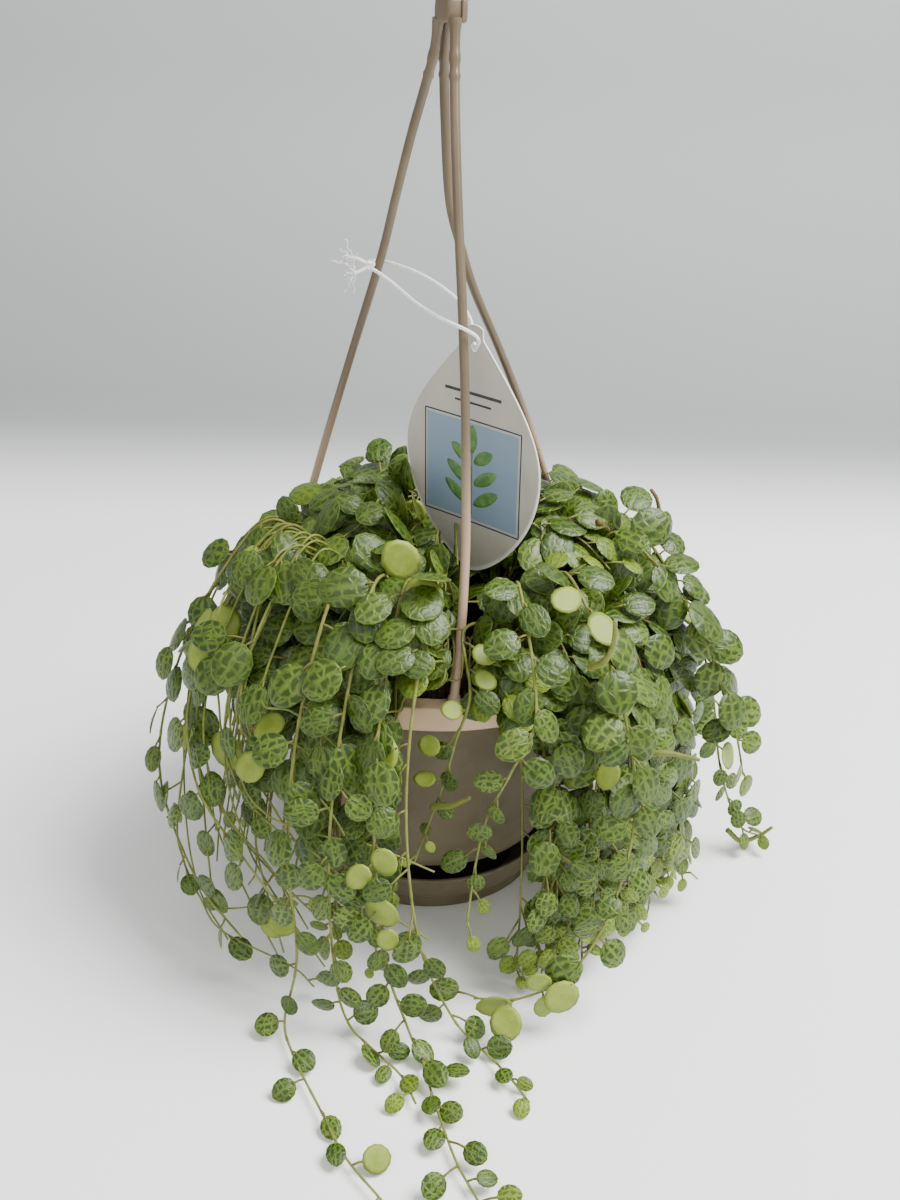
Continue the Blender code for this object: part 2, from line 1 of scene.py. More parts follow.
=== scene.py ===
# %% [markdown]
# # String of turtles in a hanging pot
#
# A small trailing succulent grows over the rim of a taupe plastic pot. The pot stands on its
# saucer, three bent arms rise from its rim to a hook, and a card tag hangs from a cotton string.
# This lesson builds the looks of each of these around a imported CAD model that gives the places
# and the sizes. Every length is in metres, +Z is up and the front is the -Y side.

import math

import bpy
import numpy as np
from mathutils import Matrix, Vector


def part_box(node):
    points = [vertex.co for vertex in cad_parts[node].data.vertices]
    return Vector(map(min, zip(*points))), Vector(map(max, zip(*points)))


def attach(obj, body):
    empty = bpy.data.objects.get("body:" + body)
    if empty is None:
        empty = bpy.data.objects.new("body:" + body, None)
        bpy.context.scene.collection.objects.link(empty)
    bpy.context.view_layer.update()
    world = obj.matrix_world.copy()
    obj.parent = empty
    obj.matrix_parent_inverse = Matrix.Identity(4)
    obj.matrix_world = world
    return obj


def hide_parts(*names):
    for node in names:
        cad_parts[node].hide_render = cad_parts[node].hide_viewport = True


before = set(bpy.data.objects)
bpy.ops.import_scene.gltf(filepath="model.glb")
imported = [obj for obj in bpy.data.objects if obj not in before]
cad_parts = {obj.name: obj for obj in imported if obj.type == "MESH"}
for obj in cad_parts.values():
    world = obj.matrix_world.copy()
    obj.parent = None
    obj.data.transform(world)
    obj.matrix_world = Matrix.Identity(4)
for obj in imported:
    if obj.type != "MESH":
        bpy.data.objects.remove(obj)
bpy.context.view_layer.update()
MM = 0.001

# %% [markdown]
# The camera comes first. It stands in front of the plant and a little above the hook, looks down
# at the mound of leaves, and is turned very slightly about its own line of sight. A camera's axes
# can be written straight into its matrix: right, up and backwards are the three columns.

# %% Camera
EYE = Vector((0.0057, -0.4292, 0.3015))
AIM = Vector((0.0057, 0.0, 0.105))
ROLL = math.radians(2.1)


def camera_matrix(eye, aim, roll):
    """Right is forward x Z and up is right x forward, both then turned by roll about forward."""
    forward = (aim - eye).normalized()
    level = forward.cross(Vector((0, 0, 1))).normalized()
    upright = level.cross(forward)
    right = level * math.cos(roll) + upright * math.sin(roll)
    up = upright * math.cos(roll) - level * math.sin(roll)
    matrix = Matrix((right, up, -forward)).transposed().to_4x4()
    matrix.translation = eye
    return matrix


camera = bpy.data.objects.new("camera", bpy.data.cameras.new("camera"))
bpy.context.scene.collection.objects.link(camera)
camera.matrix_world = camera_matrix(EYE, AIM, ROLL)
camera.data.lens = 39
camera.data.clip_start = 0.01
bpy.context.scene.camera = camera
print("camera lens", camera.data.lens, "mm, eye at", [round(x, 3) for x in EYE])

# %% [markdown]
# ## Surfaces from arrays
#
# Most pieces here are skins over rings of points: a turned pot is a ring for every point of its
# profile, and a stem is a ring for every point along its path. The rings are one array of rows x
# around x 3, so the whole surface is worked out at once, and a fan of triangles closes each end.
# A part of a piece is kept as a small dictionary until the piece is put together.


# %% Skins over rings of points
def skin(rings, finish=0, marks=None):
    """Quads between neighbouring rings, and a fan from each end ring to its middle.

    Going round a ring and then along the rings turns like a right-handed screw, so the faces
    point outwards. Marks are numbers given to each ring, kept for the materials."""
    rows, count = rings.shape[:2]
    points = np.vstack([rings.reshape(-1, 3), rings[:1].mean(axis=1), rings[-1:].mean(axis=1)])
    here = np.arange(rows * count).reshape(rows, count)
    beside = np.roll(here, -1, axis=1)
    quads = np.stack([here[:-1], beside[:-1], beside[1:], here[1:]], axis=-1).reshape(-1, 4)
    first = np.stack([beside[0], here[0], np.full(count, rows * count)], axis=-1)
    last = np.stack([here[-1], beside[-1], np.full(count, rows * count + 1)], axis=-1)
    kept = {}
    for label, values in (marks or {}).items():
        ring_values = np.repeat(np.broadcast_to(values, rows), count)
        kept[label] = np.concatenate([ring_values, ring_values[:1], ring_values[-1:]])
    return {"points": points, "quads": quads, "tris": np.vstack([first, last]),
            "finish": finish, "marks": kept}


def make_piece(name, parts, finishes, nodes=(), sharp=None, uv=None):
    """One mesh object from its parts: their points one after another, their faces' numbers
    shifted past the points before them. It rides on the root and stands for the CAD nodes."""
    counts = [len(part["points"]) for part in parts]
    starts = np.concatenate([[0], np.cumsum(counts)[:-1]]).astype(int)
    points = np.vstack([part["points"] for part in parts])
    quads = np.vstack([part["quads"] + start for part, start in zip(parts, starts)])
    tris = np.vstack([part["tris"] + start for part, start in zip(parts, starts)])
    corners = np.concatenate([quads.ravel(), tris.ravel()]).astype(np.int32)
    sizes = np.concatenate([np.full(len(quads), 4), np.full(len(tris), 3)])
    finish = np.concatenate([np.full(len(part["quads"]), part["finish"]) for part in parts]
                            + [np.full(len(part["tris"]), part["finish"]) for part in parts])
    mesh = bpy.data.meshes.new(name)
    mesh.vertices.add(len(points))
    mesh.vertices.foreach_set("co", points.astype(np.float32).ravel())
    mesh.loops.add(len(corners))
    mesh.loops.foreach_set("vertex_index", corners)
    mesh.polygons.add(len(sizes))
    mesh.polygons.foreach_set("loop_start", (np.cumsum(sizes) - sizes).astype(np.int32))
    for made in finishes:
        mesh.materials.append(made)
    mesh.polygons.foreach_set("material_index", finish.astype(np.int32))
    mesh.update(calc_edges=True)
    mesh.shade_smooth()
    if sharp:
        mesh.set_sharp_from_angle(angle=math.radians(sharp))
    for label in sorted({label for part in parts for label in part["marks"]}):
        values = [part["marks"].get(label, np.zeros(len(part["points"]))) for part in parts]
        layer = mesh.attributes.new(label, "FLOAT", "POINT")
        layer.data.foreach_set("value", np.concatenate(values).astype(np.float32))
    if uv is not None:
        layer = mesh.uv_layers.new(name=uv)
        places = np.vstack([part.get("uv", np.zeros((len(part["points"]), 2))) for part in parts])
        layer.data.foreach_set("uv", places[corners].astype(np.float32).ravel())
    made = bpy.data.objects.new(name, mesh)
    bpy.context.scene.collection.objects.link(made)
    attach(made, "root")
    if nodes:
        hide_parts(*nodes)
    return made


print("skins and pieces can be made")


# %% Rounded profiles, turned shapes and tubes
CORNER_STEPS = 4


def rounded(profile, radius):
    """Each inner corner of a line is swapped for a curve: A(1-t)^2 + 2Pt(1-t) + Bt^2, where P is
    the corner and A and B lie the radius away from it, or less where the sides are short."""
    line = np.array(profile, float)
    corner, before, after = line[1:-1], line[:-2], line[2:]
    t = np.linspace(0, 1, CORNER_STEPS)[None, :, None]
    ends = []
    for other in (before, after):
        way = other - corner
        length = np.linalg.norm(way, axis=1, keepdims=True)
        ends.append((corner + way / length * np.minimum(radius, 0.45 * length))[:, None])
    curve = ends[0] * (1 - t) ** 2 + 2 * corner[:, None] * t * (1 - t) + ends[1] * t**2
    return np.vstack([line[:1], curve.reshape(-1, line.shape[1]), line[-1:]])


def turned(profile, steps):
    """A profile of radius and height carried round Z: (r cos a, r sin a, z)."""
    angle = np.linspace(0, 2 * math.pi, steps, endpoint=False)
    radius, height = profile[:, :1], profile[:, 1:]
    rings = np.stack([radius * np.cos(angle), radius * np.sin(angle),
                      np.broadcast_to(height, (len(profile), steps))], axis=-1)
    return skin(rings)


def smooth_path(points, step):
    """Points every step along a Catmull-Rom curve through the given points."""
    points = np.array(points, float)
    ends = np.vstack([2 * points[0] - points[1], points, 2 * points[-1] - points[-2]])
    a, b, c, d = (ends[i:len(ends) - 3 + i, None] for i in range(4))
    t = np.linspace(0, 1, 24, endpoint=False)[None, :, None]
    curve = 0.5 * (2 * b + (c - a) * t + (2 * a - 5 * b + 4 * c - d) * t**2
                   + (3 * b - a - 3 * c + d) * t**3)
    fine = np.vstack([curve.reshape(-1, 3), points[-1:]])
    along = np.concatenate([[0], np.cumsum(np.linalg.norm(np.diff(fine, axis=0), axis=1))])
    wanted = np.linspace(0, along[-1], max(2, round(along[-1] / step) + 1))
    return np.stack([np.interp(wanted, along, fine[:, i]) for i in range(3)], axis=1)


def lengths_along(path):
    """How far each point of a path is from its start."""
    return np.concatenate([[0], np.cumsum(np.linalg.norm(np.diff(path, axis=0), axis=1))])


def unit(vectors):
    """Each vector at length 1."""
    return vectors / np.linalg.norm(vectors, axis=-1, keepdims=True)


def frames(path):
    """Two directions square to the path at each point: a = t x w and b = t x a, where t is the
    path's run and w is the direction it bends least in, so the rings never twist."""
    run = unit(np.gradient(path, axis=0))
    least = np.linalg.svd(run)[2][2]
    first = unit(np.cross(np.broadcast_to(least, run.shape), run))
    return first, np.cross(run, first)


def tube(path, radius, sides, finish=0, marks=None):
    """Rings p + r (a cos h + b sin h) at each point p of the path; r may change along the path,
    or along and around it."""
    first, second = frames(path)
    angle = np.linspace(0, 2 * math.pi, sides, endpoint=False)
    radius = np.asarray(radius, float)
    radius = radius if radius.ndim == 2 else np.broadcast_to(radius[..., None], (len(path), sides))
    flat = (first[:, None] * np.cos(angle)[:, None] + second[:, None] * np.sin(angle)[:, None])
    return skin(path[:, None] + radius[..., None] * flat, finish, marks)


def bump(distance, width):
    """A bell: 1 at distance 0, falling off over the width."""
    return np.exp(-(distance / width) ** 2)


print("a rounded square corner has", len(rounded([(0, 0), (1, 0), (1, 1)], 0.1)), "points")

# %% [markdown]
# ## Node helpers and shared effects
#
# A material is a small graph. Two helpers keep each node to one line: add() makes a node and feeds
# its inputs from numbers or from other nodes, and calc() is a Math node. Effects that several
# finishes share are node groups, made once: speckle, for blotches with fine grain in them, and
# turtle_shell, for the net of pale veins on a leaf.


# %% Node helpers
def feed(tree, node, feeds):
    """Each named input is linked to a socket or set to a value."""
    for key, value in feeds.items():
        if isinstance(value, bpy.types.NodeSocket):
            tree.links.new(value, node.inputs[key])
        else:
            node.inputs[key].default_value = value


def add(tree, kind, feeds=None, **settings):
    """A node of that kind, with its options set and its inputs fed by values or by sockets."""
    made = tree.nodes.new("ShaderNode" + kind)
    for key, value in settings.items():
        setattr(made, key, value)
    feed(tree, made, feeds or {})
    return made


def calc(tree, operation, *values):
    """The result of a Math node."""
    return add(tree, "Math", dict(enumerate(values)), operation=operation).outputs[0]


def between(tree, value, low, high, at_low=0.0, at_high=1.0):
    """A smooth step: at_low up to low, at_high from high on."""
    feeds = {"Value": value, "From Min": low, "From Max": high, "To Min": at_low, "To Max": at_high}
    return add(tree, "MapRange", feeds, interpolation_type="SMOOTHSTEP").outputs[0]


def mix(tree, share, first, second):
    """Two colours mixed by a share."""
    feeds = {0: share, 6: first, 7: second}
    return add(tree, "Mix", feeds, data_type="RGBA").outputs[2]


def attribute(tree, name):
    """A number that the mesh carries at each point."""
    return add(tree, "Attribute", attribute_name=name, attribute_type="GEOMETRY").outputs["Fac"]


def new_group(name, inputs, outputs):
    """An empty node group with named inputs (kind, value) and outputs (kind)."""
    group = bpy.data.node_groups.new(name, "ShaderNodeTree")
    for label, (kind, value) in inputs.items():
        socket = group.interface.new_socket(label, in_out="INPUT", socket_type="NodeSocket" + kind)
        if value is not None:
            socket.default_value = value
    for label, kind in outputs.items():
        group.interface.new_socket(label, in_out="OUTPUT", socket_type="NodeSocket" + kind)
    return group, group.nodes.new("NodeGroupInput").outputs, group.nodes.new("NodeGroupOutput")


def place_group(tree, group, feeds):
    """A group placed in a material with its own values; returns its outputs."""
    made = tree.nodes.new("ShaderNodeGroup")
    made.node_tree = group
    feed(tree, made, feeds)
    return made.outputs


def new_finish(name, **constants):
    """A material with its shader; numbers that are the same all over are set on the shader."""
    made = bpy.data.materials.new(name)
    made.use_nodes = True
    shader = made.node_tree.nodes["Principled BSDF"]
    for label, value in constants.items():
        shader.inputs[label.replace("_", " ")].default_value = value
    return made, made.node_tree, shader


def relief(tree, shader, height, distance):
    """A bump map of a height, a distance high, into the shader's normal."""
    made = add(tree, "Bump", {"Height": height, "Distance": distance, "Strength": 1.0})
    tree.links.new(made.outputs[0], shader.inputs["Normal"])


print("node helpers ready")


# %% Shared effect: speckle
def build_speckle():
    """Large soft blotches plus fine grain: colour = first + (second - first) x blotch, and
    height = grain x 0.6 + blotch x 0.4."""
    group, given, out = new_group(
        "speckle",
        {"Place": ("Vector", None), "First": ("Color", (0, 0, 0, 1)), "Second": ("Color", (1, 1, 1, 1)),
         "Blotch Scale": ("Float", 60.0), "Grain Scale": ("Float", 900.0)},
        {"Color": "Color", "Height": "Float", "Blotch": "Float"})
    blotch = add(group, "TexNoise", {"Vector": given["Place"], "Scale": given["Blotch Scale"],
                                     "Detail": 3.0, "Roughness": 0.55}).outputs["Fac"]
    grain = add(group, "TexNoise", {"Vector": given["Place"], "Scale": given["Grain Scale"],
                                    "Detail": 2.0}).outputs["Fac"]
    share = between(group, calc(group, "ADD", calc(group, "MULTIPLY", blotch, 0.8),
                                calc(group, "MULTIPLY", grain, 0.2)), 0.35, 0.65)
    height = calc(group, "ADD", calc(group, "MULTIPLY", grain, 0.6), calc(group, "MULTIPLY", blotch, 0.4))
    group.links.new(mix(group, share, given["First"], given["Second"]), out.inputs["Color"])
    group.links.new(height, out.inputs["Height"])
    group.links.new(share, out.inputs["Blotch"])
    return group


speckle = build_speckle()
print("speckle group has", len(speckle.nodes), "nodes")


# %% Shared effect: turtle shell
def build_turtle_shell():
    """Where a leaf's pale veins are. A leaf's own map runs x from stalk to tip and y across, both
    from 0 to 1. Lines of equal y / sqrt(1 - x^2) run from stalk to tip like meridians, and the
    edges of Voronoi cells laid over them make the net between."""
    group, given, out = new_group(
        "turtle_shell", {"Place": ("Vector", None), "Seed": ("Float", 0.0), "Width": ("Float", 0.12)},
        {"Vein": "Float", "Edge": "Float"})
    split = add(group, "SeparateXYZ", {0: given["Place"]}).outputs
    x = calc(group, "MULTIPLY_ADD", split[0], 2.0, -1.0)
    y = calc(group, "MULTIPLY_ADD", split[1], 2.0, -1.0)
    squared = calc(group, "MULTIPLY", calc(group, "MULTIPLY", x, x), -0.9)
    meridian = calc(group, "DIVIDE", y, calc(group, "SQRT", calc(group, "ADD", squared, 1.0)))
    shift = calc(group, "MULTIPLY", given["Seed"], 37.0)
    wobble = add(group, "TexNoise", {"Vector": given["Place"], "W": shift, "Scale": 3.0, "Detail": 1.0},
                 noise_dimensions="4D").outputs["Fac"]
    bent = calc(group, "ADD", meridian, calc(group, "MULTIPLY_ADD", wobble, 0.5, -0.25))
    cells_at = add(group, "CombineXYZ", {0: calc(group, "MULTIPLY_ADD", x, 2.1, shift),
                                         1: calc(group, "MULTIPLY_ADD", bent, 1.9, shift)}).outputs[0]
    cells = add(group, "TexVoronoi", {"Vector": cells_at, "Scale": 1.0, "Randomness": 0.9},
                voronoi_dimensions="2D", feature="DISTANCE_TO_EDGE").outputs["Distance"]
    ragged = add(group, "TexNoise", {"Vector": given["Place"], "W": shift, "Scale": 11.0, "Detail": 2.0},
                 noise_dimensions="4D").outputs["Fac"]
    rough = calc(group, "MULTIPLY_ADD", ragged, 0.22, -0.11)
    net = between(group, calc(group, "ADD", cells, rough), 0.0, given["Width"], 1.0, 0.0)
    spine = between(group, calc(group, "ADD", calc(group, "ABSOLUTE", bent), rough), 0.02, 0.20, 1.0, 0.0)
    sides = calc(group, "ABSOLUTE", calc(group, "SUBTRACT", calc(group, "ABSOLUTE", bent), 0.52))
    ribs = between(group, calc(group, "ADD", sides, rough), 0.02, 0.17, 0.8, 0.0)
    edge = between(group, calc(group, "ADD", calc(group, "MULTIPLY", x, x), calc(group, "MULTIPLY", y, y)),
                   0.80, 0.99)
    lines = calc(group, "MAXIMUM", calc(group, "MAXIMUM", net, spine), ribs)
    group.links.new(lines, out.inputs["Vein"])
    group.links.new(edge, out.inputs["Edge"])
    return group


turtle_shell = build_turtle_shell()
print("turtle_shell group has", len(turtle_shell.nodes), "nodes")

# %% [markdown]
# ## Finishes
#
# The pot, saucer and hanger are one matte polypropylene, moulded with a faint orange-peel grain
# and slightly uneven colour. All of its patterns sit in Object coordinates, because moulded
# plastic has no direction of its own.


# %% Plastic
def build_plastic(name, first, second, roughness, rim=False, painted_light_below=None):
    """Even plastic. On the pot the rim's top band is painted pale, a painted highlight where light falls on
    the rim, and the foot under the base is painted near black with a maroon tint, the painted shade of the
    gap over the saucer.
    The arms are painted paler towards their lower ends, painted light where they are lit."""
    made, tree, shader = new_finish(name, Specular_IOR_Level=0.4)
    place = add(tree, "TexCoord").outputs["Object"]
    found = place_group(tree, speckle, {"Place": place, "First": (*first, 1), "Second": (*second, 1),
                                        "Blotch Scale": 45.0, "Grain Scale": 2600.0})
    colour = found["Color"]
    height = add(tree, "SeparateXYZ", {0: place}).outputs[2]
    # Painted light: below the given height the arms turn a paler tan, standing in for the light on their
    # lit lower ends.
    if painted_light_below:
        colour = mix(tree, between(tree, height, painted_light_below - 0.06, painted_light_below, 1.0, 0.0), colour,
                     (0.42, 0.30, 0.20, 1))
    if rim:
        # Painted highlight: from z 0.0876 up, the rim's top band is painted a pale tan where light falls on
        # it.
        colour = mix(tree, between(tree, height, 0.0872, 0.0880), colour, (0.74, 0.53, 0.34, 1))
        # Painted shade: below the base at z 0.0185 the foot is painted near black with a maroon tint, the
        # shade in the gap over the saucer.
        colour = mix(tree, between(tree, height, 0.0185, 0.0200), (0.035, 0.008, 0.010, 1), colour)
    tree.links.new(colour, shader.inputs["Base Color"])
    scuff = add(tree, "TexNoise", {"Vector": place, "Scale": 160.0, "Detail": 4.0}).outputs["Fac"]
    tree.links.new(between(tree, scuff, 0.3, 0.7, roughness - 0.06, roughness + 0.08),
                   shader.inputs["Roughness"])
    relief(tree, shader, found["Height"], 0.00006)
    return made


taupe = build_plastic("taupe_plastic", (0.140, 0.110, 0.064), (0.175, 0.140, 0.086), 0.46)
# The pot's finish carries the painted rim highlight and the painted shade under its foot.
taupe_pot_painted_light = build_plastic("taupe_plastic_pot_painted_light", (0.140, 0.110, 0.064), (0.175, 0.140, 0.086), 0.46, True)
# The arms' finish carries painted light on their lower ends.
taupe_light = build_plastic("taupe_plastic_arms_painted_light", (0.105, 0.075, 0.044), (0.130, 0.096, 0.058), 0.36,
                            painted_light_below=0.19)
print("plastic finishes:", taupe.name, taupe_light.name)

# %% [markdown]
# A leaf's upper side is dark green under a net of paler veins, and thick and glossy like wax. Its
# underside is a plain pale lime. Young leaves are smaller and yellower. The mesh carries three
# numbers for each leaf: its age, a seed that moves its pattern, and how strongly it is marked.


# %% Leaf and stem finishes
def build_leaf_upper():
    made, tree, shader = new_finish("leaf_upper", Coat_Roughness=0.26, Coat_Weight=0.07,
                                      Specular_IOR_Level=0.30)
    place = add(tree, "UVMap", uv_map="leaf").outputs[0]
    young = attribute(tree, "leaf_young")
    seed = attribute(tree, "leaf_seed")
    marked = attribute(tree, "leaf_marked")
    found = place_group(tree, turtle_shell, {"Place": place, "Seed": seed, "Width": 0.22})
    blotch = add(tree, "TexNoise", {"Vector": add(tree, "TexCoord").outputs["Object"], "Scale": 330.0,
                                    "Detail": 3.0}).outputs["Fac"]
    tint = add(tree, "TexWhiteNoise", {"W": seed}, noise_dimensions="1D").outputs["Value"]
    old_dark = mix(tree, tint, (0.013, 0.034, 0.0010, 1), (0.030, 0.056, 0.0016, 1))
    dark = mix(tree, young, old_dark, (0.105, 0.165, 0.0040, 1))
    old_pale = mix(tree, tint, (0.105, 0.172, 0.013, 1), (0.165, 0.235, 0.032, 1))
    pale = mix(tree, young, old_pale, (0.26, 0.34, 0.030, 1))
    share = calc(tree, "MULTIPLY", calc(tree, "MULTIPLY", found["Vein"], marked),
                 between(tree, blotch, 0.25, 0.60, 0.35, 1.0))
    share = calc(tree, "MAXIMUM", share, calc(tree, "MULTIPLY", found["Edge"], 0.5))
    tree.links.new(mix(tree, share, dark, pale), shader.inputs["Base Color"])
    tree.links.new(between(tree, blotch, 0.2, 0.8, 0.30, 0.48), shader.inputs["Roughness"])
    height = calc(tree, "ADD", calc(tree, "MULTIPLY", found["Vein"], -0.5), blotch)
    relief(tree, shader, height, 0.00026)
    return made


def build_leaf_underside():
    made, tree, shader = new_finish("leaf_underside", Specular_IOR_Level=0.3)
    place = add(tree, "TexCoord").outputs["Object"]
    found = place_group(tree, speckle, {"Place": place, "First": (0.170, 0.230, 0.022, 1),
                                        "Second": (0.240, 0.305, 0.045, 1), "Blotch Scale": 180.0,
                                        "Grain Scale": 1500.0})
    warm = mix(tree, attribute(tree, "leaf_young"), found["Color"], (0.27, 0.34, 0.045, 1))
    tree.links.new(warm, shader.inputs["Base Color"])
    tree.links.new(between(tree, found["Blotch"], 0.0, 1.0, 0.42, 0.55), shader.inputs["Roughness"])
    relief(tree, shader, found["Height"], 0.0001)
    return made


def build_stem_skin():
    made, tree, shader = new_finish("stem_skin", Specular_IOR_Level=0.3)
    place = add(tree, "TexCoord").outputs["Object"]
    old = place_group(tree, speckle, {"Place": place, "First": (0.075, 0.038, 0.012, 1),
                                      "Second": (0.135, 0.085, 0.028, 1), "Blotch Scale": 300.0,
                                      "Grain Scale": 2000.0})
    new = place_group(tree, speckle, {"Place": place, "First": (0.120, 0.155, 0.022, 1),
                                      "Second": (0.200, 0.225, 0.045, 1), "Blotch Scale": 240.0,
                                      "Grain Scale": 2000.0})
    tree.links.new(mix(tree, attribute(tree, "stem_fresh"), old["Color"], new["Color"]),
                   shader.inputs["Base Color"])
    tree.links.new(between(tree, old["Blotch"], 0.0, 1.0, 0.42, 0.6), shader.inputs["Roughness"])
    relief(tree, shader, old["Height"], 0.0001)
    return made


leaf_upper = build_leaf_upper()
leaf_underside = build_leaf_underside()
stem_skin = build_stem_skin()
LEAF_FINISHES = [leaf_upper, leaf_underside, stem_skin]
print("plant finishes:", [made.name for made in LEAF_FINISHES])

# %% [markdown]
# ## The tag's string
#
# The string is 14 cm of limp two-ply cotton. It leaves the knot, goes behind the arms, through the
# hole in the tag and back in front of the arms to the knot. Two plies twisted together look like
# one round bar whose radius rises and falls along a screw line: r (0.90 + 0.10 |cos(h - turn)|).

# %% Cotton finish
STRING_ROUTE = [(-25.2, 8.4, 222.6), (-25.6, 12.6, 222.5), (-23.6, 15.6, 222.3),
                (-20.0, 15.6, 222.1), (-14.0, 10.4, 221.6), (-7.0, 2.0, 220.6),
                (0.0, -9.0, 218.8), (5.6, -17.4, 216.0), (9.0, -21.8, 211.6),
                (10.2, -25.0, 206.5), (10.5, -27.6, 204.8), (11.0, -30.2, 205.2),
                (11.6, -33.4, 207.6), (10.6, -36.6, 210.2), (7.4, -37.3, 212.2),
                (3.4, -35.4, 213.4), (-2.0, -29.0, 214.4), (-9.0, -17.6, 216.0),
                (-16.0, -5.0, 218.6), (-21.4, 1.8, 220.8), (-24.2, 3.8, 221.9)]
STRING_RADIUS = 0.00058
STRING_TWIST = 0.0024  # one turn of the plies
STRING_SIDES = 12
KNOT_PLACE = np.array((-0.0246, 0.0060, 0.2225))


def build_cotton():
    made, tree, shader = new_finish("white_cotton", Roughness=0.92, Specular_IOR_Level=0.2)
    found = place_group(tree, speckle, {"Place": add(tree, "TexCoord").outputs["Object"],
                                        "First": (0.74, 0.73, 0.70, 1), "Second": (0.90, 0.89, 0.86, 1),
                                        "Blotch Scale": 900.0, "Grain Scale": 5200.0})
    tree.links.new(found["Color"], shader.inputs["Base Color"])
    relief(tree, shader, found["Height"], 0.00025)
    return made


white_cotton = build_cotton()
print("cotton finish:", white_cotton.name)


# %% String and knot
def twisted(path, radius):
    """A two-ply bar along a path: its radius swells on two opposite sides that turn as it runs."""
    angle = np.linspace(0, 2 * math.pi, STRING_SIDES, endpoint=False)
    turn = lengths_along(path) / STRING_TWIST * math.pi
    swell = 0.90 + 0.10 * np.abs(np.cos(angle[None] - turn[:, None]))
    return tube(path, radius * swell, STRING_SIDES)


def knot_path(centre, size):
    """A trefoil: (sin t + 2 sin 2t, cos t - 2 cos 2t, -sin 3t) / 3, pulled flat."""
    t = np.linspace(0.15, 2 * math.pi + 0.02, 90)
    loop = np.stack([np.sin(t) + 2 * np.sin(2 * t), -0.7 * np.sin(3 * t), np.cos(t) - 2 * np.cos(2 * t)])
    return centre + size / 3 * loop.T


def build_string():
    path = smooth_path(np.array(STRING_ROUTE) * MM, 0.00035)
    string = make_piece("tag_string_twist", [twisted(path, STRING_RADIUS)], [white_cotton],
                        ["tag_string"])
    parts = [twisted(knot_path(KNOT_PLACE, 0.00125), STRING_RADIUS * 0.95)]
    rng = np.random.default_rng(3)
    for tip, sag in (((-32.6, 5.0, 225.4), 0.0006), ((-31.6, 4.0, 219.4), -0.0004)):
        end = np.array(tip) * MM
        bend = (KNOT_PLACE + end) / 2 + (0, 0, sag)
        tail = smooth_path([KNOT_PLACE, bend, KNOT_PLACE * 0.25 + end * 0.75], 0.0004)
        parts.append(twisted(tail, STRING_RADIUS))
        for _ in range(11):
            spread = rng.normal(0, 0.0011, 3) * (1, 0.7, 1.5)
            t = np.linspace(0, 1, 9)[:, None]
            curl = 0.0006 * np.sin(t * 11 + rng.uniform(0, 6, 3)) * t
            wisp = smooth_path(tail[-2] + (end + spread * 1.6 - tail[-2]) * t + curl, 0.0004)
            parts.append(tube(wisp, 0.00016, 5))
    knot = make_piece("tag_string_knot", parts, [white_cotton], ["string_knot"])
    length = lengths_along(path)[-1]
    return length


print("string length in mm:", round(1000 * build_string()))

# %% [markdown]
# ## Saucer and pot
#
# Both are thin injection-moulded walls, so each is one closed profile carried round the Z axis:
# outside, over the edge, and back down the inside. Their sizes are read from the CAD nodes' boxes.
# The drain holes and the arms' sockets are then cut with a Boolean, as a mould's pins leave them.

# %% Saucer
saucer_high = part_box("saucer")[1]
pot_low, pot_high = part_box("pot")
WALL = 0.0015
TURN_STEPS = 160


def build_saucer():
    top, outer = saucer_high.z, saucer_high.x
    foot = outer - 0.0045
    line = [(0.0005, 0.0), (foot, 0.0), (foot + 0.0006, 0.0050), (foot + 0.0019, 0.0060),
            (outer - 0.0003, top - 0.0016), (outer, top - 0.0013), (outer, top),
            (outer - 0.0013, top), (foot - 0.0014, 0.0016), (0.0005, 0.0014)]
    return make_piece("saucer_turned", [turned(rounded(line, 0.0006), TURN_STEPS)], [taupe],
                      ["saucer"], sharp=40)


saucer = build_saucer()
print("saucer faces:", len(saucer.data.polygons))

# %% Pot
RIM_RADIUS = pot_high.x
RIM_Z = pot_high.z
LIP_HEIGHT = 0.0085
POT_TOP_RADIUS = 0.0590
POT_BASE_RADIUS = 0.0450
POT_BASE_Z = 0.0185
POT_CORNER = 0.0050
FOOT_RADIUS = 0.0340
ARM_CIRCLE = 0.0612
ARM_RADIUS = 0.0016
ARM_AZIMUTHS = {"front": 7.7, "left": -112.3, "right": 127.7}


def around(azimuth, radius, z, centre_x=0.0):
    """A place from its azimuth in degrees, 0 at the front and growing to the right."""
    angle = math.radians(azimuth)
    return (centre_x + radius * math.sin(angle), -radius * math.cos(angle), z)


def body_radius(z):
    """Outer radius of the pot's body at a height: it tapers evenly from rim to base."""
    share = (z - POT_BASE_Z) / (RIM_Z - POT_BASE_Z)
    return POT_BASE_RADIUS + (POT_TOP_RADIUS - POT_BASE_RADIUS) * share


def cut_holes(target, places, radius, depth):
    """Straight round holes, cut with one exact Boolean and kept in the mesh."""
    angle = np.linspace(0, 2 * math.pi, 24, endpoint=False)
    ring = np.stack([np.cos(angle), np.sin(angle), 0 * angle], axis=1) * radius
    parts = [skin(np.array(place) + ring[None] + np.array([(0, 0, -depth), (0, 0, depth)])[:, None])
             for place in places]
    cutter = make_piece("cutter", parts, [taupe])
    modifier = target.modifiers.new("holes", "BOOLEAN")
    modifier.operation = "DIFFERENCE"
    modifier.solver = "EXACT"
    modifier.object = cutter
    bpy.context.view_layer.update()
    cut = bpy.data.meshes.new_from_object(target.evaluated_get(bpy.context.evaluated_depsgraph_get()))
    target.modifiers.clear()
    target.data = cut
    bpy.data.objects.remove(cutter)


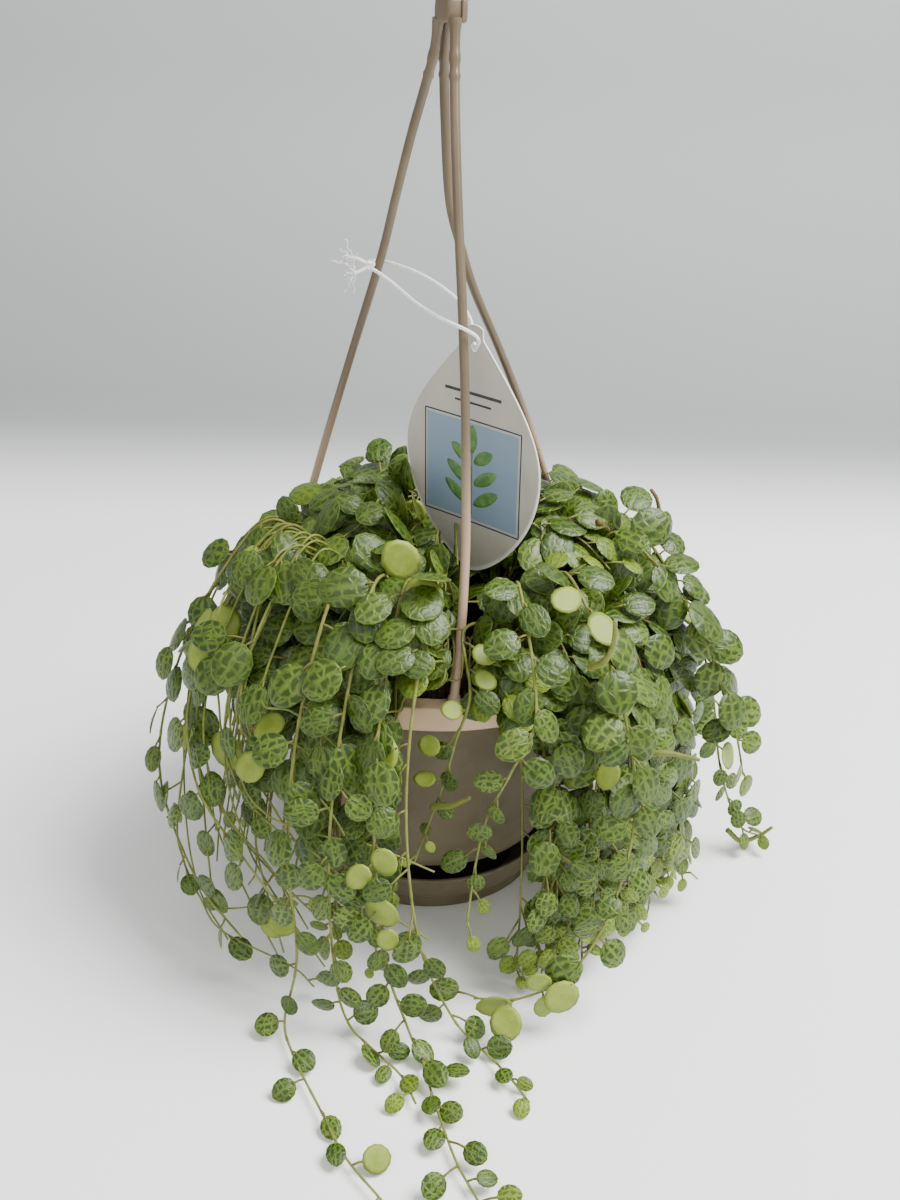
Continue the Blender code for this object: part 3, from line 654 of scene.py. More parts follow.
def build_pot():
    lip_inner = RIM_RADIUS - WALL
    under = RIM_Z - WALL
    low = pot_low.z
    line = [(0.0005, POT_BASE_Z), (FOOT_RADIUS - WALL, POT_BASE_Z), (FOOT_RADIUS - WALL, low),
            (FOOT_RADIUS, low), (FOOT_RADIUS, POT_BASE_Z), (POT_BASE_RADIUS - 0.0040, POT_BASE_Z),
            (POT_BASE_RADIUS - 0.0008, POT_BASE_Z + 0.0014),
            (body_radius(POT_BASE_Z + POT_CORNER), POT_BASE_Z + POT_CORNER),
            (body_radius(under), under), (lip_inner, under), (lip_inner, RIM_Z - LIP_HEIGHT),
            (RIM_RADIUS - 0.0002, RIM_Z - LIP_HEIGHT), (RIM_RADIUS, RIM_Z - LIP_HEIGHT * 0.5),
            (RIM_RADIUS, RIM_Z), (body_radius(RIM_Z) - WALL, RIM_Z),
            (body_radius(POT_BASE_Z + POT_CORNER + WALL) - WALL, POT_BASE_Z + POT_CORNER + WALL),
            (POT_BASE_RADIUS - POT_CORNER, POT_BASE_Z + WALL), (0.0005, POT_BASE_Z + WALL)]
    made = make_piece("pot_turned", [turned(rounded(line, 0.0009), TURN_STEPS)], [taupe_pot_painted_light],
                      ["pot"])
    cut_holes(made, [around(45 + 90 * i, 0.018, POT_BASE_Z) for i in range(4)], 0.0030, 0.006)
    cut_holes(made, [around(a, ARM_CIRCLE, RIM_Z) for a in ARM_AZIMUTHS.values()], 0.0019, 0.004)
    made.data.shade_smooth()
    made.data.set_sharp_from_angle(angle=math.radians(40))
    return made


pot = build_pot()
print("pot faces:", len(pot.data.polygons))

# %% [markdown]
# ## Soil
#
# Potting soil is peat and fibre with crumbs of perlite. Its top is a disc whose height is a sum
# of slow waves and small random lumps, and loose crumbs are half sunk into it.


# %% Soil
def build_soil_finish():
    made, tree, shader = new_finish("potting_soil", Specular_IOR_Level=0.15)
    found = place_group(tree, speckle, {"Place": add(tree, "TexCoord").outputs["Object"],
                                        "First": (0.018, 0.010, 0.006, 1),
                                        "Second": (0.085, 0.055, 0.034, 1),
                                        "Blotch Scale": 420.0, "Grain Scale": 2400.0})
    tree.links.new(found["Color"], shader.inputs["Base Color"])
    tree.links.new(between(tree, found["Blotch"], 0, 1, 0.85, 1.0), shader.inputs["Roughness"])
    relief(tree, shader, found["Height"], 0.0016)
    return made


def build_soil():
    low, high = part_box("soil")
    radius, top = high.x, high.z
    rng = np.random.default_rng(11)
    steps = 96
    angle = np.linspace(0, 2 * math.pi, steps, endpoint=False)
    shares = np.concatenate([[0.93, 0.97, 1.0], np.linspace(0.985, 0.03, 34)])
    heights = np.concatenate([[low.z, low.z + 0.004, top - 0.001], np.full(34, top)])
    radii = np.concatenate([[0.0370, 0.0425], radius * shares[2:]])
    lumps = rng.normal(0, 0.00055, (37, steps)) * (np.arange(37) > 2)[:, None]
    waves = 0.0011 * np.sin(radii * 160)[:, None] * np.sin(3 * angle + 1.0)
    x = radii[:, None] * np.cos(angle)
    y = radii[:, None] * np.sin(angle)
    z = heights[:, None] - 0.0012 + lumps + waves * (np.arange(37) > 2)[:, None]
    z[:2] = heights[:2, None]
    parts = [skin(np.stack([x, y, z], axis=-1))]
    for _ in range(150):
        place = around(rng.uniform(0, 360), radius * 0.95 * math.sqrt(rng.uniform()), top - 0.0008)
        size = rng.uniform(0.0006, 0.0017)
        ring = np.linspace(0, 2 * math.pi, 6, endpoint=False)
        level = np.array([-0.6, 0.1, 0.7])
        width = np.sqrt(1 - level**2)[:, None] * rng.uniform(0.7, 1.3, (3, 6))
        crumb = np.stack([width * np.cos(ring), width * np.sin(ring),
                          np.broadcast_to(level[:, None], (3, 6))], axis=-1)
        parts.append(skin(np.array(place) + crumb * size))
    return make_piece("soil_top", parts, [build_soil_finish()], ["soil"])


soil = build_soil()
print("soil faces:", len(soil.data.polygons))

# %% [markdown]
# ## Hanger
#
# Each arm is a thin moulded bar that leaves the hub, bows under the plant's weight and ends in a
# peg in the rim, with a collar that stops it. One radius that changes along the bar makes the bar,
# the runner marks near the hub and the collar, and a thin ridge on two sides is the mould's seam.

# %% Arms
ARM_BENDS = {
    "front": [(1.0, -4.4), (1.2, -7.5, 287), (1.7, -12, 275), (3.2, -20, 253), (4.8, -27, 234),
              (6.5, -33.5, 214), (8.1, -40.4, 191), (9.3, -46.7, 167), (10.0, -52.4, 143),
              (9.5, -57.7, 119)],
    "left": [(-4.2, 1.4), (-5.6, 3.2, 287), (-8.5, 4.6, 276), (-12.4, 7.3, 262), (-17, 10, 243),
             (-21.8, 12.7, 223), (-31.4, 16.4, 191), (-40.2, 19.2, 161), (-49.2, 21.6, 129),
             (-55.2, 23.0, 109)],
    "right": [(-1.6, 4.4), (-2.2, 7.0, 286), (-1.4, 10.0, 268), (0.8, 12.4, 243), (5.4, 14.5, 227),
              (10.3, 17.0, 213), (20.0, 20.8, 192), (30.3, 25.2, 168), (38.4, 29.2, 146),
              (45.4, 34.0, 122)],
}
HUB_BASE_Z = 0.2965
SEAT_GAP = 0.0003
COLLAR_TOP = RIM_Z + SEAT_GAP + 0.0030


def arm_path(side):
    """From inside the hub, of which the arm is a part, down to the collar."""
    top, *rest = ARM_BENDS[side]
    start = (top[0] * MM, top[1] * MM, HUB_BASE_Z + 0.0012)
    bends = [(x * MM, y * MM, z * MM) for x, y, z in rest]
    return [start, *bends, around(ARM_AZIMUTHS[side], ARM_CIRCLE, COLLAR_TOP)]


def build_arm(side):
    path = smooth_path(arm_path(side), 0.0011)
    foot = np.array(around(ARM_AZIMUTHS[side], ARM_CIRCLE, 0.0))
    stops = COLLAR_TOP - np.array([0.0002, 0.0004, 0.0029, 0.0030, 0.0036, 0.0086, 0.0090])
    peg = foot + np.stack([0 * stops, 0 * stops, stops], axis=1)
    fine = np.vstack([path, peg])
    way = lengths_along(fine)
    radius = ARM_RADIUS * (0.95 + 0.012 * np.sin(way * 90) + 0.03 * np.sin(way * 31 + 1.0))
    for place, height in ((0.0105, 0.00040), (0.0118, 0.00028), (0.0165, 0.00036)):
        radius = radius + height * bump(way - place, 0.0007)
    radius = radius + 0.0005 * bump(way, 0.0030)
    tail = len(peg)
    radius[-tail - 1] = ARM_RADIUS
    radius[-tail:] = [0.00175, 0.0020, 0.0024, 0.0024, 0.00155, 0.00150, 0.0011]
    sides = 24
    angle = np.linspace(0, 2 * math.pi, sides, endpoint=False)
    seam = 0.00010 * (np.abs(np.sin(angle)) < 0.01)
    flat = 1 - 0.07 * np.cos(angle) ** 2
    return make_piece(f"hanger_arm_{side}_bar", [tube(fine, radius[:, None] * flat + seam, sides)],
                      [taupe_light], [f"hanger_arm_{side}"], sharp=50)


for side in ARM_AZIMUTHS:
    arm = build_arm(side)
print("arm faces:", len(arm.data.polygons))

# %% [markdown]
# The hook is a J with a hub at its foot. Its section is a rounded bar with a groove along each
# flat side, which saves plastic, so the section is given once and carried along the J.

# %% Hook
HUB_SIZE = (0.0080, 0.0092, 0.0070)
HUB_SHIFT = (-0.0004, 0.0002)
HOOK_THICKNESS = 0.0068
HOOK_WIDTH = 0.0060
HOOK_INNER_RADIUS = 0.0110
HOOK_SHANK = 0.0120
HOOK_SWEEP = 200.0
HOOK_TURN = 32.0


def hook_section():
    """Half width across and half thickness through, as shares, with a groove in each face."""
    half = np.array([(1.0, -0.8), (1.0, 0.8), (0.86, 1.0), (0.45, 1.0), (0.36, 0.62),
                     (-0.36, 0.62), (-0.45, 1.0), (-0.86, 1.0)])
    return np.vstack([half, -half])


def build_hook():
    middle = HOOK_INNER_RADIUS + HOOK_WIDTH / 2
    angles = np.radians(np.linspace(0, HOOK_SWEEP, 60))
    shank = np.stack([np.zeros(8), np.linspace(0.002, HOOK_SHANK, 9)[:-1]], axis=1)
    arc = np.array([-middle, HOOK_SHANK]) + middle * np.stack([np.cos(angles), np.sin(angles)], axis=1)
    line = np.vstack([shank, arc])
    out = np.vstack([np.tile((1.0, 0.0), (8, 1)), np.stack([np.cos(angles), np.sin(angles)], axis=1)])
    width = HOOK_WIDTH / 2 * np.concatenate([np.linspace(1.3, 1.0, 8), np.linspace(1.0, 0.7, 60)])
    section = hook_section()
    across = line[:, None] + out[:, None] * (width[:, None] * section[:, 0])[..., None]
    through = np.broadcast_to(-HOOK_THICKNESS / 2 * section[:, 1], (len(line), len(section)))
    local = np.concatenate([across, through[..., None]], axis=-1)
    end = np.concatenate([line[-1], [0.0]])
    tip = end + (local[-1] - end) * 0.72
    tip[:, :2] += 0.0009 * np.array([-out[-1][1], out[-1][0]])
    local = np.concatenate([local, tip[None]])
    stand = Matrix.Translation((0, 0, HUB_BASE_Z + HUB_SIZE[2] * 0.6)) \
        @ Matrix.Rotation(math.radians(HOOK_TURN), 4, "Z") @ Matrix.Rotation(math.radians(90), 4, "X")
    turn = np.array(stand)
    rings = local @ turn[:3, :3].T + turn[:3, 3]
    turned_by = np.array(Matrix.Rotation(math.radians(HOOK_TURN), 4, "Z"))[:3, :3]
    angle = np.linspace(0, 2 * math.pi, 40, endpoint=False)
    reach = (np.abs(np.cos(angle)) ** 5 + np.abs(np.sin(angle)) ** 5) ** -0.2 / 2
    outline = np.stack([reach * np.cos(angle) * HUB_SIZE[0], reach * np.sin(angle) * HUB_SIZE[1]], axis=1)
    level = np.array([0.0, 0.06, 0.14, 0.5, 0.86, 0.95, 1.0])
    wide = np.array([0.84, 0.94, 0.98, 1.0, 0.97, 0.92, 0.82])
    block = np.concatenate([outline[None] * wide[:, None, None] + HUB_SHIFT,
                            np.broadcast_to(level[:, None, None] * HUB_SIZE[2], (7, 40, 1))], axis=-1)
    block[..., 2] += HUB_BASE_Z
    ridge = np.array([(0.0008, -0.0045, HUB_BASE_Z + 0.0004), (0.0008, -0.0046, HUB_BASE_Z + 0.0030),
                      (0.0008, -0.0045, HUB_BASE_Z + 0.0064)])
    parts = [skin(rings), skin(block @ turned_by.T), tube(ridge @ turned_by.T, 0.0004, 8)]
    return make_piece("hanger_hook_moulded", parts, [taupe_light], ["hanger_hook"],
                      sharp=35)


hook = build_hook()
print("hook faces:", len(hook.data.polygons))

# %% [markdown]
# ## Tag
#
# The tag is coated card cut to a drop shape, with a hole near its point. It is a ring-shaped sheet
# with a front and a back: each ring of points lies a share of the way from the hole to the edge.
# The print is a thin layer of ink: a frame, grey lines in place of words and a small leaf sprig.

# %% Tag card
TAG_WIDTH = 0.0573
TAG_HEIGHT = 0.0845
TAG_THICKNESS = 0.0006
TAG_HOLE_RADIUS = 0.0016
TAG_HOLE_DROP = 0.0070
tag_axes = np.array(Matrix.Translation((0.0105, -0.0275, 0.2047))
                    @ Matrix.Rotation(math.radians(-41.0), 4, "Z")
                    @ Matrix.Rotation(math.radians(93.0), 4, "X")
                    @ Matrix.Rotation(math.radians(-1.0), 4, "Z"))


def tag_edge(count):
    """A drop: half width W/2 sin(pi t^1.09)^p, with t from the point down and p under 1 below."""
    t = (1 - np.cos(np.linspace(0.03, math.pi - 0.02, count))) / 2
    power = np.where(t < 0.53, 1.0, 0.65)
    half = TAG_WIDTH / 2 * np.sin(np.pi * t**1.09) ** power
    half = np.maximum(half, 0.0034 * np.sqrt(np.clip(t / 0.012, 0, 1)) * (t < 0.06))
    y = TAG_HOLE_DROP - t * TAG_HEIGHT
    left = np.stack([-half, y], axis=1)
    return np.vstack([left, left[::-1] * (-1, 1)])


def tag_bend(x, y):
    """How far the card curls towards the viewer: a shallow bow across and along it."""
    return 0.9 * x**2 * 0.9 - 0.18 * (y + 0.03) ** 2


def on_tag(x, y, lift):
    """Places in the row's frame of points on the card, a little above its middle plane."""
    flat = np.stack([x, y, tag_bend(x, y) + lift], axis=-1)
    return flat @ tag_axes[:3, :3].T + tag_axes[:3, 3]


def build_tag_finish():
    made, tree, shader = new_finish("tag_card", Specular_IOR_Level=0.4)
    place = add(tree, "UVMap", uv_map="card").outputs[0]
    fibre = place_group(tree, speckle, {"Place": place, "First": (0.39, 0.37, 0.305, 1),
                                        "Second": (0.435, 0.415, 0.35, 1), "Blotch Scale": 5.0,
                                        "Grain Scale": 90.0})
    split = add(tree, "SeparateXYZ", {0: place}).outputs
    away_x = calc(tree, "ABSOLUTE", calc(tree, "SUBTRACT", split[0], 0.5))
    away_y = calc(tree, "ABSOLUTE", calc(tree, "SUBTRACT", split[1], 0.423))
    reach = calc(tree, "MAXIMUM", calc(tree, "MULTIPLY", away_x, 2.5), calc(tree, "MULTIPLY", away_y, 4.3))
    panel = between(tree, reach, 0.84, 0.86, 0.85, 0.0)
    printed = mix(tree, panel, fibre["Color"], (0.16, 0.25, 0.36, 1))
    rim = mix(tree, attribute(tree, "card_edge"), printed, (0.80, 0.79, 0.75, 1))
    tree.links.new(rim, shader.inputs["Base Color"])
    tree.links.new(between(tree, fibre["Blotch"], 0, 1, 0.42, 0.56), shader.inputs["Roughness"])
    relief(tree, shader, fibre["Height"], 0.00003)
    return made


def build_tag():
    edge = tag_edge(64)
    angle = np.arctan2(edge[:, 1], edge[:, 0])
    hole = TAG_HOLE_RADIUS * np.stack([np.cos(angle), np.sin(angle)], axis=1)
    shares = np.concatenate([[0.0, 0.004], np.linspace(0.03, 0.98, 16) ** 1.3, [0.992, 1.0]])
    flat = hole[None] + (edge - hole)[None] * shares[:, None, None]
    half = TAG_THICKNESS / 2
    lift = np.full(len(shares), half)
    lift[[0, -1]] = half * 0.6
    front = on_tag(flat[..., 0], flat[..., 1], lift[:, None])
    back = on_tag(flat[..., 0], flat[..., 1], -lift[:, None])[::-1]
    rows = np.concatenate([front, back])
    count = rows.shape[1]
    here = np.arange(rows.shape[0] * count).reshape(rows.shape[0], count)
    beside, below = np.roll(here, -1, axis=1), np.roll(here, -1, axis=0)
    corner = np.roll(below, -1, axis=1)
    quads = np.stack([here, below, corner, beside], axis=-1).reshape(-1, 4)
    both = np.concatenate([flat, flat[::-1]]).reshape(-1, 2)
    uv = np.stack([both[:, 0] / TAG_WIDTH + 0.5, (both[:, 1] - TAG_HOLE_DROP) / TAG_HEIGHT + 1.0], axis=1)
    part = {"points": rows.reshape(-1, 3), "quads": quads, "tris": np.zeros((0, 3), int),
            "finish": 0, "uv": uv,
            "marks": {"card_edge": np.repeat(np.tile(shares > 0.99, 2), count) * 1.0}}
    return make_piece("tag_card_drop", [part], [build_tag_finish()], ["tag"], sharp=60,
                      uv="card")


tag = build_tag()
print("tag faces:", len(tag.data.polygons))


# %% Print on the tag
def ink(name, first, second):
    made, tree, shader = new_finish(name, Specular_IOR_Level=0.4)
    found = place_group(tree, speckle, {"Place": add(tree, "TexCoord").outputs["Object"],
                                        "First": (*first, 1), "Second": (*second, 1),
                                        "Blotch Scale": 420.0, "Grain Scale": 2500.0})
    tree.links.new(found["Color"], shader.inputs["Base Color"])
    tree.links.new(between(tree, found["Blotch"], 0, 1, 0.45, 0.6), shader.inputs["Roughness"])
    return made


INK_LIFT = np.array([-0.00010, 0.00003])  # ink starts in the card and ends above its face
LINE_STEPS = 12
LEAF_POINTS = 20


def ink_patch(outline, finish):
    """A flat patch of ink with the outline's shape: one ring under the card's face, one above,
    and a middle row, so that the patch follows the card's bow."""
    outline = np.asarray(outline, float)
    centre = outline.mean(axis=0)
    shrink = np.array([1.0, 1.0, 0.6, 0.25])
    lift = TAG_THICKNESS / 2 + INK_LIFT[[0, 1, 1, 1]]
    flat = centre + (outline - centre)[None] * shrink[:, None, None]
    return skin(on_tag(flat[..., 0], flat[..., 1], lift[:, None]), finish)


def ink_line(start, end, width, finish):
    """A ruled line as a long thin patch."""
    start, end = np.array(start), np.array(end)
    t = np.linspace(0, 1, LINE_STEPS)[:, None]
    side = unit(np.array([-(end - start)[1], (end - start)[0]])) * width / 2
    line = start + (end - start) * t
    upper, lower = line + side, line - side
    low, high = TAG_THICKNESS / 2 + INK_LIFT
    rings = np.stack([on_tag(*lower.T, low), on_tag(*upper.T, low),
                      on_tag(*upper.T, high), on_tag(*lower.T, high)], axis=1)
    return skin(rings, finish)


def leaf_shape(centre, length, width, turn):
    """An oval with a pointed tip, turned by an angle in degrees."""
    h = np.linspace(0, 2 * math.pi, LEAF_POINTS, endpoint=False)
    x = length / 2 * (np.cos(h) + 0.15 * np.cos(h) * np.abs(np.cos(h)) ** 5)
    y = width / 2 * np.sin(h)
    c, s = math.cos(math.radians(turn)), math.sin(math.radians(turn))
    return np.stack([centre[0] + c * x - s * y, centre[1] + s * x + c * y], axis=1)


TAG_FRAME = [(-0.0202, -0.0240), (0.0206, -0.0240), (0.0206, -0.0595), (-0.0202, -0.0595)]
LEAF_PAIRS = [(-0.0530, 0.0062), (-0.0460, 0.0058), (-0.0390, 0.0048)]  # height, reach sideways
BARS = [(-0.0152, 0.0118, 0.0010), (-0.0184, 0.0076, 0.0007)]  # height, half length, thickness


def build_print():
    inks = [ink("ink_frame", (0.014, 0.028, 0.07), (0.03, 0.05, 0.10)),
            ink("ink_grey", (0.020, 0.020, 0.018), (0.045, 0.045, 0.042)),
            ink("ink_green", (0.06, 0.16, 0.040), (0.13, 0.25, 0.07))]
    parts = [ink_line(a, b, 0.00050, 0) for a, b in zip(TAG_FRAME, TAG_FRAME[1:] + TAG_FRAME[:1])]
    parts += [ink_line((-half, y), (half, y), width, 1) for y, half, width in BARS]
    parts.append(ink_line((0.0, -0.0570), (0.0, -0.0330), 0.0006, 2))
    parts.append(ink_patch(leaf_shape((0.0, -0.0305), 0.0085, 0.0044, 90), 2))
    for y, reach in LEAF_PAIRS:
        for side, turn in ((1, 32), (-1, 148)):
            parts.append(ink_patch(leaf_shape((side * reach, y + 0.0030), reach * 1.7, 0.0044, turn), 2))
    return make_piece("tag_print", parts, inks)


tag_print = build_print()
print("print faces:", len(tag_print.data.polygons))

# %% [markdown]
# ## Where the stems run
#
# Every vine is a stem that climbs out of the soil and then runs over an unseen mound: up across
# the rim and down to the floor. The CAD model has 42 of them, and their routes are worked out here
# in the same way. A real plant has several thin stems where the CAD has one, so each CAD vine
# gets companions that run beside it or a little deeper, and they belong to the same piece.

# %% Mound and routes
SOIL_TOP = RIM_Z - 0.0080
MOUND = np.array([(0.000, 0.148), (0.030, 0.146), (0.052, 0.137), (0.068, 0.122), (0.079, 0.102),
                  (0.087, 0.078), (0.092, 0.052), (0.096, 0.028), (0.099, 0.006)])
MOUND_CENTRE_X = 0.006
MANTLE_COUNT = 21
MANTLE_FIRST = 16.27
MANTLE_ENDS = [0.50, 0.93, 0.80, 0.97, 0.86, 0.95, 0.75, 0.97, 0.88, 0.96, 0.80,
               0.97, 0.86, 0.94, 0.97, 0.82, 0.97, 0.90, 0.96, 0.80, 0.50]
CROWN_STEMS = [(52, 0.024, 0.34), (84, 0.026, 0.34), (110, 0.014, 0.34), (150, 0.024, 0.34),
               (190, 0.018, 0.36), (225, 0.026, 0.34), (268, 0.014, 0.34), (300, 0.024, 0.32),
               (330, 0.026, 0.28)]
FREE_STEMS = {
    "runner_left": (-27, 0.038, [(-28, -62, 139), (-38, -88, 106), (-41, -101, 66), (-38, -107, 30),
                                 (-42, -109, 6), (-38, -121, 3.2), (-27, -143, 3.0), (-18, -160, 3.0),
                                 (-7, -174, 3.0), (-1, -183, 3.0)]),
    "runner_middle": (-17, 0.033, [(-17, -64, 140), (-25, -93, 106), (-28, -106, 66), (-26, -109, 26),
                                   (-22, -110, 7), (-14, -117, 3.2), (-4, -128, 3.0), (1, -139, 3.0)]),
    "runner_right": (-9, 0.036, [(-8, -66, 140), (-14, -95, 106), (-14, -106, 68), (-10, -109, 30),
                                 (-3, -112, 8), (3, -124, 3.2), (6, -136, 3.0), (13, -159, 3.0),
                                 (19, -172, 3.0), (24, -183, 3.0)]),
    "runner_short": (1, 0.032, [(2, -64, 141), (-4, -92, 112), (-5, -102, 76), (0, -106, 36),
                                (11, -108, 9), (20, -115, 3.2), (28, -125, 3.0), (35, -137, 3.0)]),
    "bundle_upper": (-60, 0.040, [(-48, -28, 143), (-68, -36, 118), (-80, -50, 88), (-75, -68, 66),
                                  (-58, -88, 54), (-42, -100, 40)]),
    "bundle_lower": (-77, 0.040, [(-56, -16, 140), (-76, -22, 117), (-90, -32, 84), (-92, -48, 56),
                                  (-76, -74, 34), (-58, -92, 24)]),
    "shoot_on_pot": (10, 0.047, [(10, -63, 122), (13, -76, 108), (9, -78, 92), (6, -76, 76),
                                 (2, -76, 62), (-3, -82, 48)]),
    "strand_on_pot": (25, 0.040, [(27, -60, 138), (33, -86, 108), (26, -92, 90), (20, -88, 72),
                                  (17, -86, 52), (15, -92, 34)]),
    "skirt_front": (42, 0.040, [(43, -50, 138), (58, -74, 112), (66, -84, 78), (62, -92, 46),
                                (50, -101, 24), (34, -104, 14), (18, -103, 12)]),
    "sprig_right_low": (94, 0.040, [(66, 4, 137), (88, 6, 112), (104, 4, 76), (112, 0, 38),
                                    (122, -2, 14), (134, 2, 6)]),
    "sprig_right_high": (77, 0.040, [(62, -16, 140), (84, -22, 120), (99, -27, 96), (108, -30, 72),
                                     (113, -30, 54)]),
    "strand_back": (180, 0.040, [(4, 62, 140), (2, 88, 110), (-3, 104, 66), (-4, 110, 24),
                                 (-4, 114, 6)]),
}


def on_mound(azimuth, along, lift=0.0):
    """A place on the mound: along runs from 0 at the top to 1 at the floor, by arc length."""
    steps = np.linalg.norm(np.diff(MOUND, axis=0), axis=1)
    arc = np.concatenate([[0], np.cumsum(steps)]) / steps.sum()
    at = [np.interp(along, arc, MOUND[:, i]) for i in (0, 1)]
    slope = np.array([np.interp(along + 0.03, arc, MOUND[:, i]) - np.interp(along - 0.03, arc, MOUND[:, i])
                      for i in (0, 1)])
    out = np.array([-slope[1], slope[0]]) / np.linalg.norm(slope)
    return around(azimuth, at[0] + lift * out[0], at[1] + lift * out[1], MOUND_CENTRE_X)


def rise(azimuth, radius, height, outward):
    """The stem's first stretch, straight up out of the soil and then leaning outwards."""
    base = SOIL_TOP + SEAT_GAP
    return [around(azimuth, radius, base), around(azimuth, radius, base + 0.006),
            around(azimuth, radius + outward * 0.4, (base + height) / 2),
            around(azimuth, radius + outward, height, MOUND_CENTRE_X)]


def mantle_route(azimuth, end, index, lift=-0.003, sway=4.0):
    """A stem that climbs out of the pot's edge, crosses the rim and hangs down the mound, a few
    millimetres under the leaves."""
    sway = sway * math.sin(index * 2.4)
    lift = lift - 0.006 * bump((azimuth + 75 + 180) % 360 - 180, 38)
    steps = np.arange(0.44, end, 0.09)
    path = rise(azimuth, 0.047, 0.118, 0.010)
    path += [on_mound(azimuth + sway * math.sin((s - 0.44) * 7), s, lift) for s in steps]
    return path + [on_mound(azimuth + sway * 0.5, end, lift)]


def crown_route(azimuth, radius, reach, lift=-0.002):
    """A short stem that stands in the middle of the pot and arches over the mound's top."""
    return rise(azimuth, radius, 0.128, 0.004) + [on_mound(azimuth + 6 * s, s, lift) for s in
                                                  np.arange(0.02 + radius * 6, reach, 0.06)]


def free_route(azimuth, radius, points):
    """A stem from the soil through the given points, in millimetres."""
    return rise(azimuth, radius, 0.120, 0.006) + [(x * MM, y * MM, z * MM) for x, y, z in points]


print("mound radius in mm:", round(1000 * MOUND[-1, 0]), "height:", round(1000 * MOUND[0, 1]))

# %% [markdown]
# A list of strands gathers what each stem needs: the CAD vine it belongs to, its route, how thick
# it is, where its leaves start, how far apart they stand, and how often a leaf shows its
# underside. The outer stems come first, so that they get their leaves before the inner ones do.
# On the lower left the plant is thin and shows long stray stems with hardly a leaf on them.

# %% List of strands
random = np.random.default_rng(20)
strands = []
STRAYS = [
    ("vine_bundle_upper", [(-48, -26, 141), (-62, -32, 130), (-69, -42, 121), (-71, -50, 107),
                           (-69, -56, 91), (-67, -62, 80), (-60, -72, 67), (-47, -84, 61),
                           (-35, -92, 59), (-18, -98, 47), (-5, -101, 39), (3, -103, 35)]),
    ("vine_bundle_upper", [(-36, -44, 141), (-50, -60, 112), (-52, -72, 100), (-42, -80, 102),
                           (-29, -90, 98), (-16, -98, 83), (-15, -101, 70), (-15, -102, 52)]),
    ("vine_bundle_upper", [(-40, -40, 142), (-58, -58, 110), (-59, -68, 84), (-42, -82, 92),
                           (-29, -92, 87), (-16, -99, 76), (-14, -101, 60)]),
    ("vine_bundle_lower", [(-44, -32, 142), (-56, -42, 121), (-60, -54, 100), (-58, -62, 87),
                           (-56, -72, 66), (-54, -80, 50), (-50, -88, 40), (-44, -94, 20)]),
    ("vine_bundle_lower", [(-46, -34, 140), (-64, -56, 100), (-60, -72, 74), (-50, -82, 65),
                           (-32, -92, 65), (-16, -98, 66), (4, -102, 60)]),
    ("vine_bundle_lower", [(-52, -20, 140), (-72, -32, 112), (-80, -42, 82), (-84, -60, 48),
                           (-81, -68, 36), (-74, -76, 26), (-66, -82, 18), (-42, -92, 13),
                           (-34, -96, 8)]),
    ("vine_bundle_lower", [(-50, -26, 140), (-70, -38, 110), (-78, -48, 72), (-75, -60, 55),
                           (-71, -74, 37), (-68, -80, 27), (-52, -88, 34), (-38, -94, 43),
                           (-26, -98, 40)]),
    ("vine_bundle_upper", [(-56, -12, 138), (-74, -18, 118), (-82, -20, 106), (-86, -24, 102),
                           (-84, -30, 95), (-80, -36, 84), (-77, -44, 66), (-72, -56, 40)]),
    ("vine_bundle_upper", [(-50, -30, 141), (-68, -44, 112), (-74, -58, 82), (-66, -72, 60),
                           (-48, -86, 46), (-36, -94, 30)]),
    ("vine_bundle_upper", [(-40, -34, 142), (-54, -50, 118), (-62, -58, 96), (-60, -66, 78),
                           (-50, -76, 66), (-38, -88, 56), (-24, -96, 50), (-8, -101, 44)]),
    ("vine_bundle_upper", [(-58, -6, 137), (-78, -10, 112), (-84, -24, 84), (-80, -44, 62),
                           (-66, -64, 50), (-50, -82, 44), (-34, -94, 36)]),
    ("vine_bundle_lower", [(-56, -22, 137), (-74, -36, 104), (-78, -52, 74), (-70, -66, 50),
                           (-58, -78, 30), (-46, -90, 14)]),
    ("vine_bundle_lower", [(-60, -10, 134), (-80, -16, 104), (-86, -30, 70), (-84, -48, 40),
                           (-78, -60, 18), (-66, -74, 8)]),
    ("vine_bundle_lower", [(-50, -40, 138), (-60, -58, 96), (-54, -72, 84), (-44, -80, 80),
                           (-30, -90, 74), (-20, -96, 56), (-18, -100, 36)]),
    ("vine_mantle_19", [(-46, -40, 140), (-62, -54, 108), (-66, -66, 78), (-58, -78, 52),
                        (-44, -90, 34), (-30, -100, 20)]),
]


def strand(vine, route, first_leaf=0.030, spacing=0.0044, radius=0.0005, size=1.0, fresh=0.0,
           tip=1.0):
    strands.append({"vine": vine, "path": smooth_path(route, 0.0015), "first": first_leaf,
                    "spacing": spacing, "radius": radius, "size": size, "fresh": fresh, "tip": tip})


for name, (azimuth, radius, points) in FREE_STEMS.items():
    spacing = {"runner_left": 0.0120, "bundle_upper": 0.0140, "bundle_lower": 0.0140,
               "strand_on_pot": 0.0080, "skirt_front": 0.0062, "sprig_right_low": 0.0052}.get(name, 0.0070)
    size, tip = {"shoot_on_pot": (0.66, 1.0), "strand_on_pot": (0.85, 1.0), "skirt_front": (1.0, 0.1),
                 "sprig_right_high": (1.1, 0.5), "sprig_right_low": (1.0, 0.6)}.get(name, (1.0, 1.0))
    strand(f"vine_{name}", free_route(azimuth, radius, points), 0.036, spacing, radius=0.0006, size=size,
           fresh=0.3, tip=tip)
for vine, points in STRAYS:
    azimuth = math.degrees(math.atan2(points[0][0] - 6, -points[0][1]))
    strand(vine, free_route(azimuth, 0.036, points), 0.070, random.uniform(0.028, 0.045), fresh=0.6)

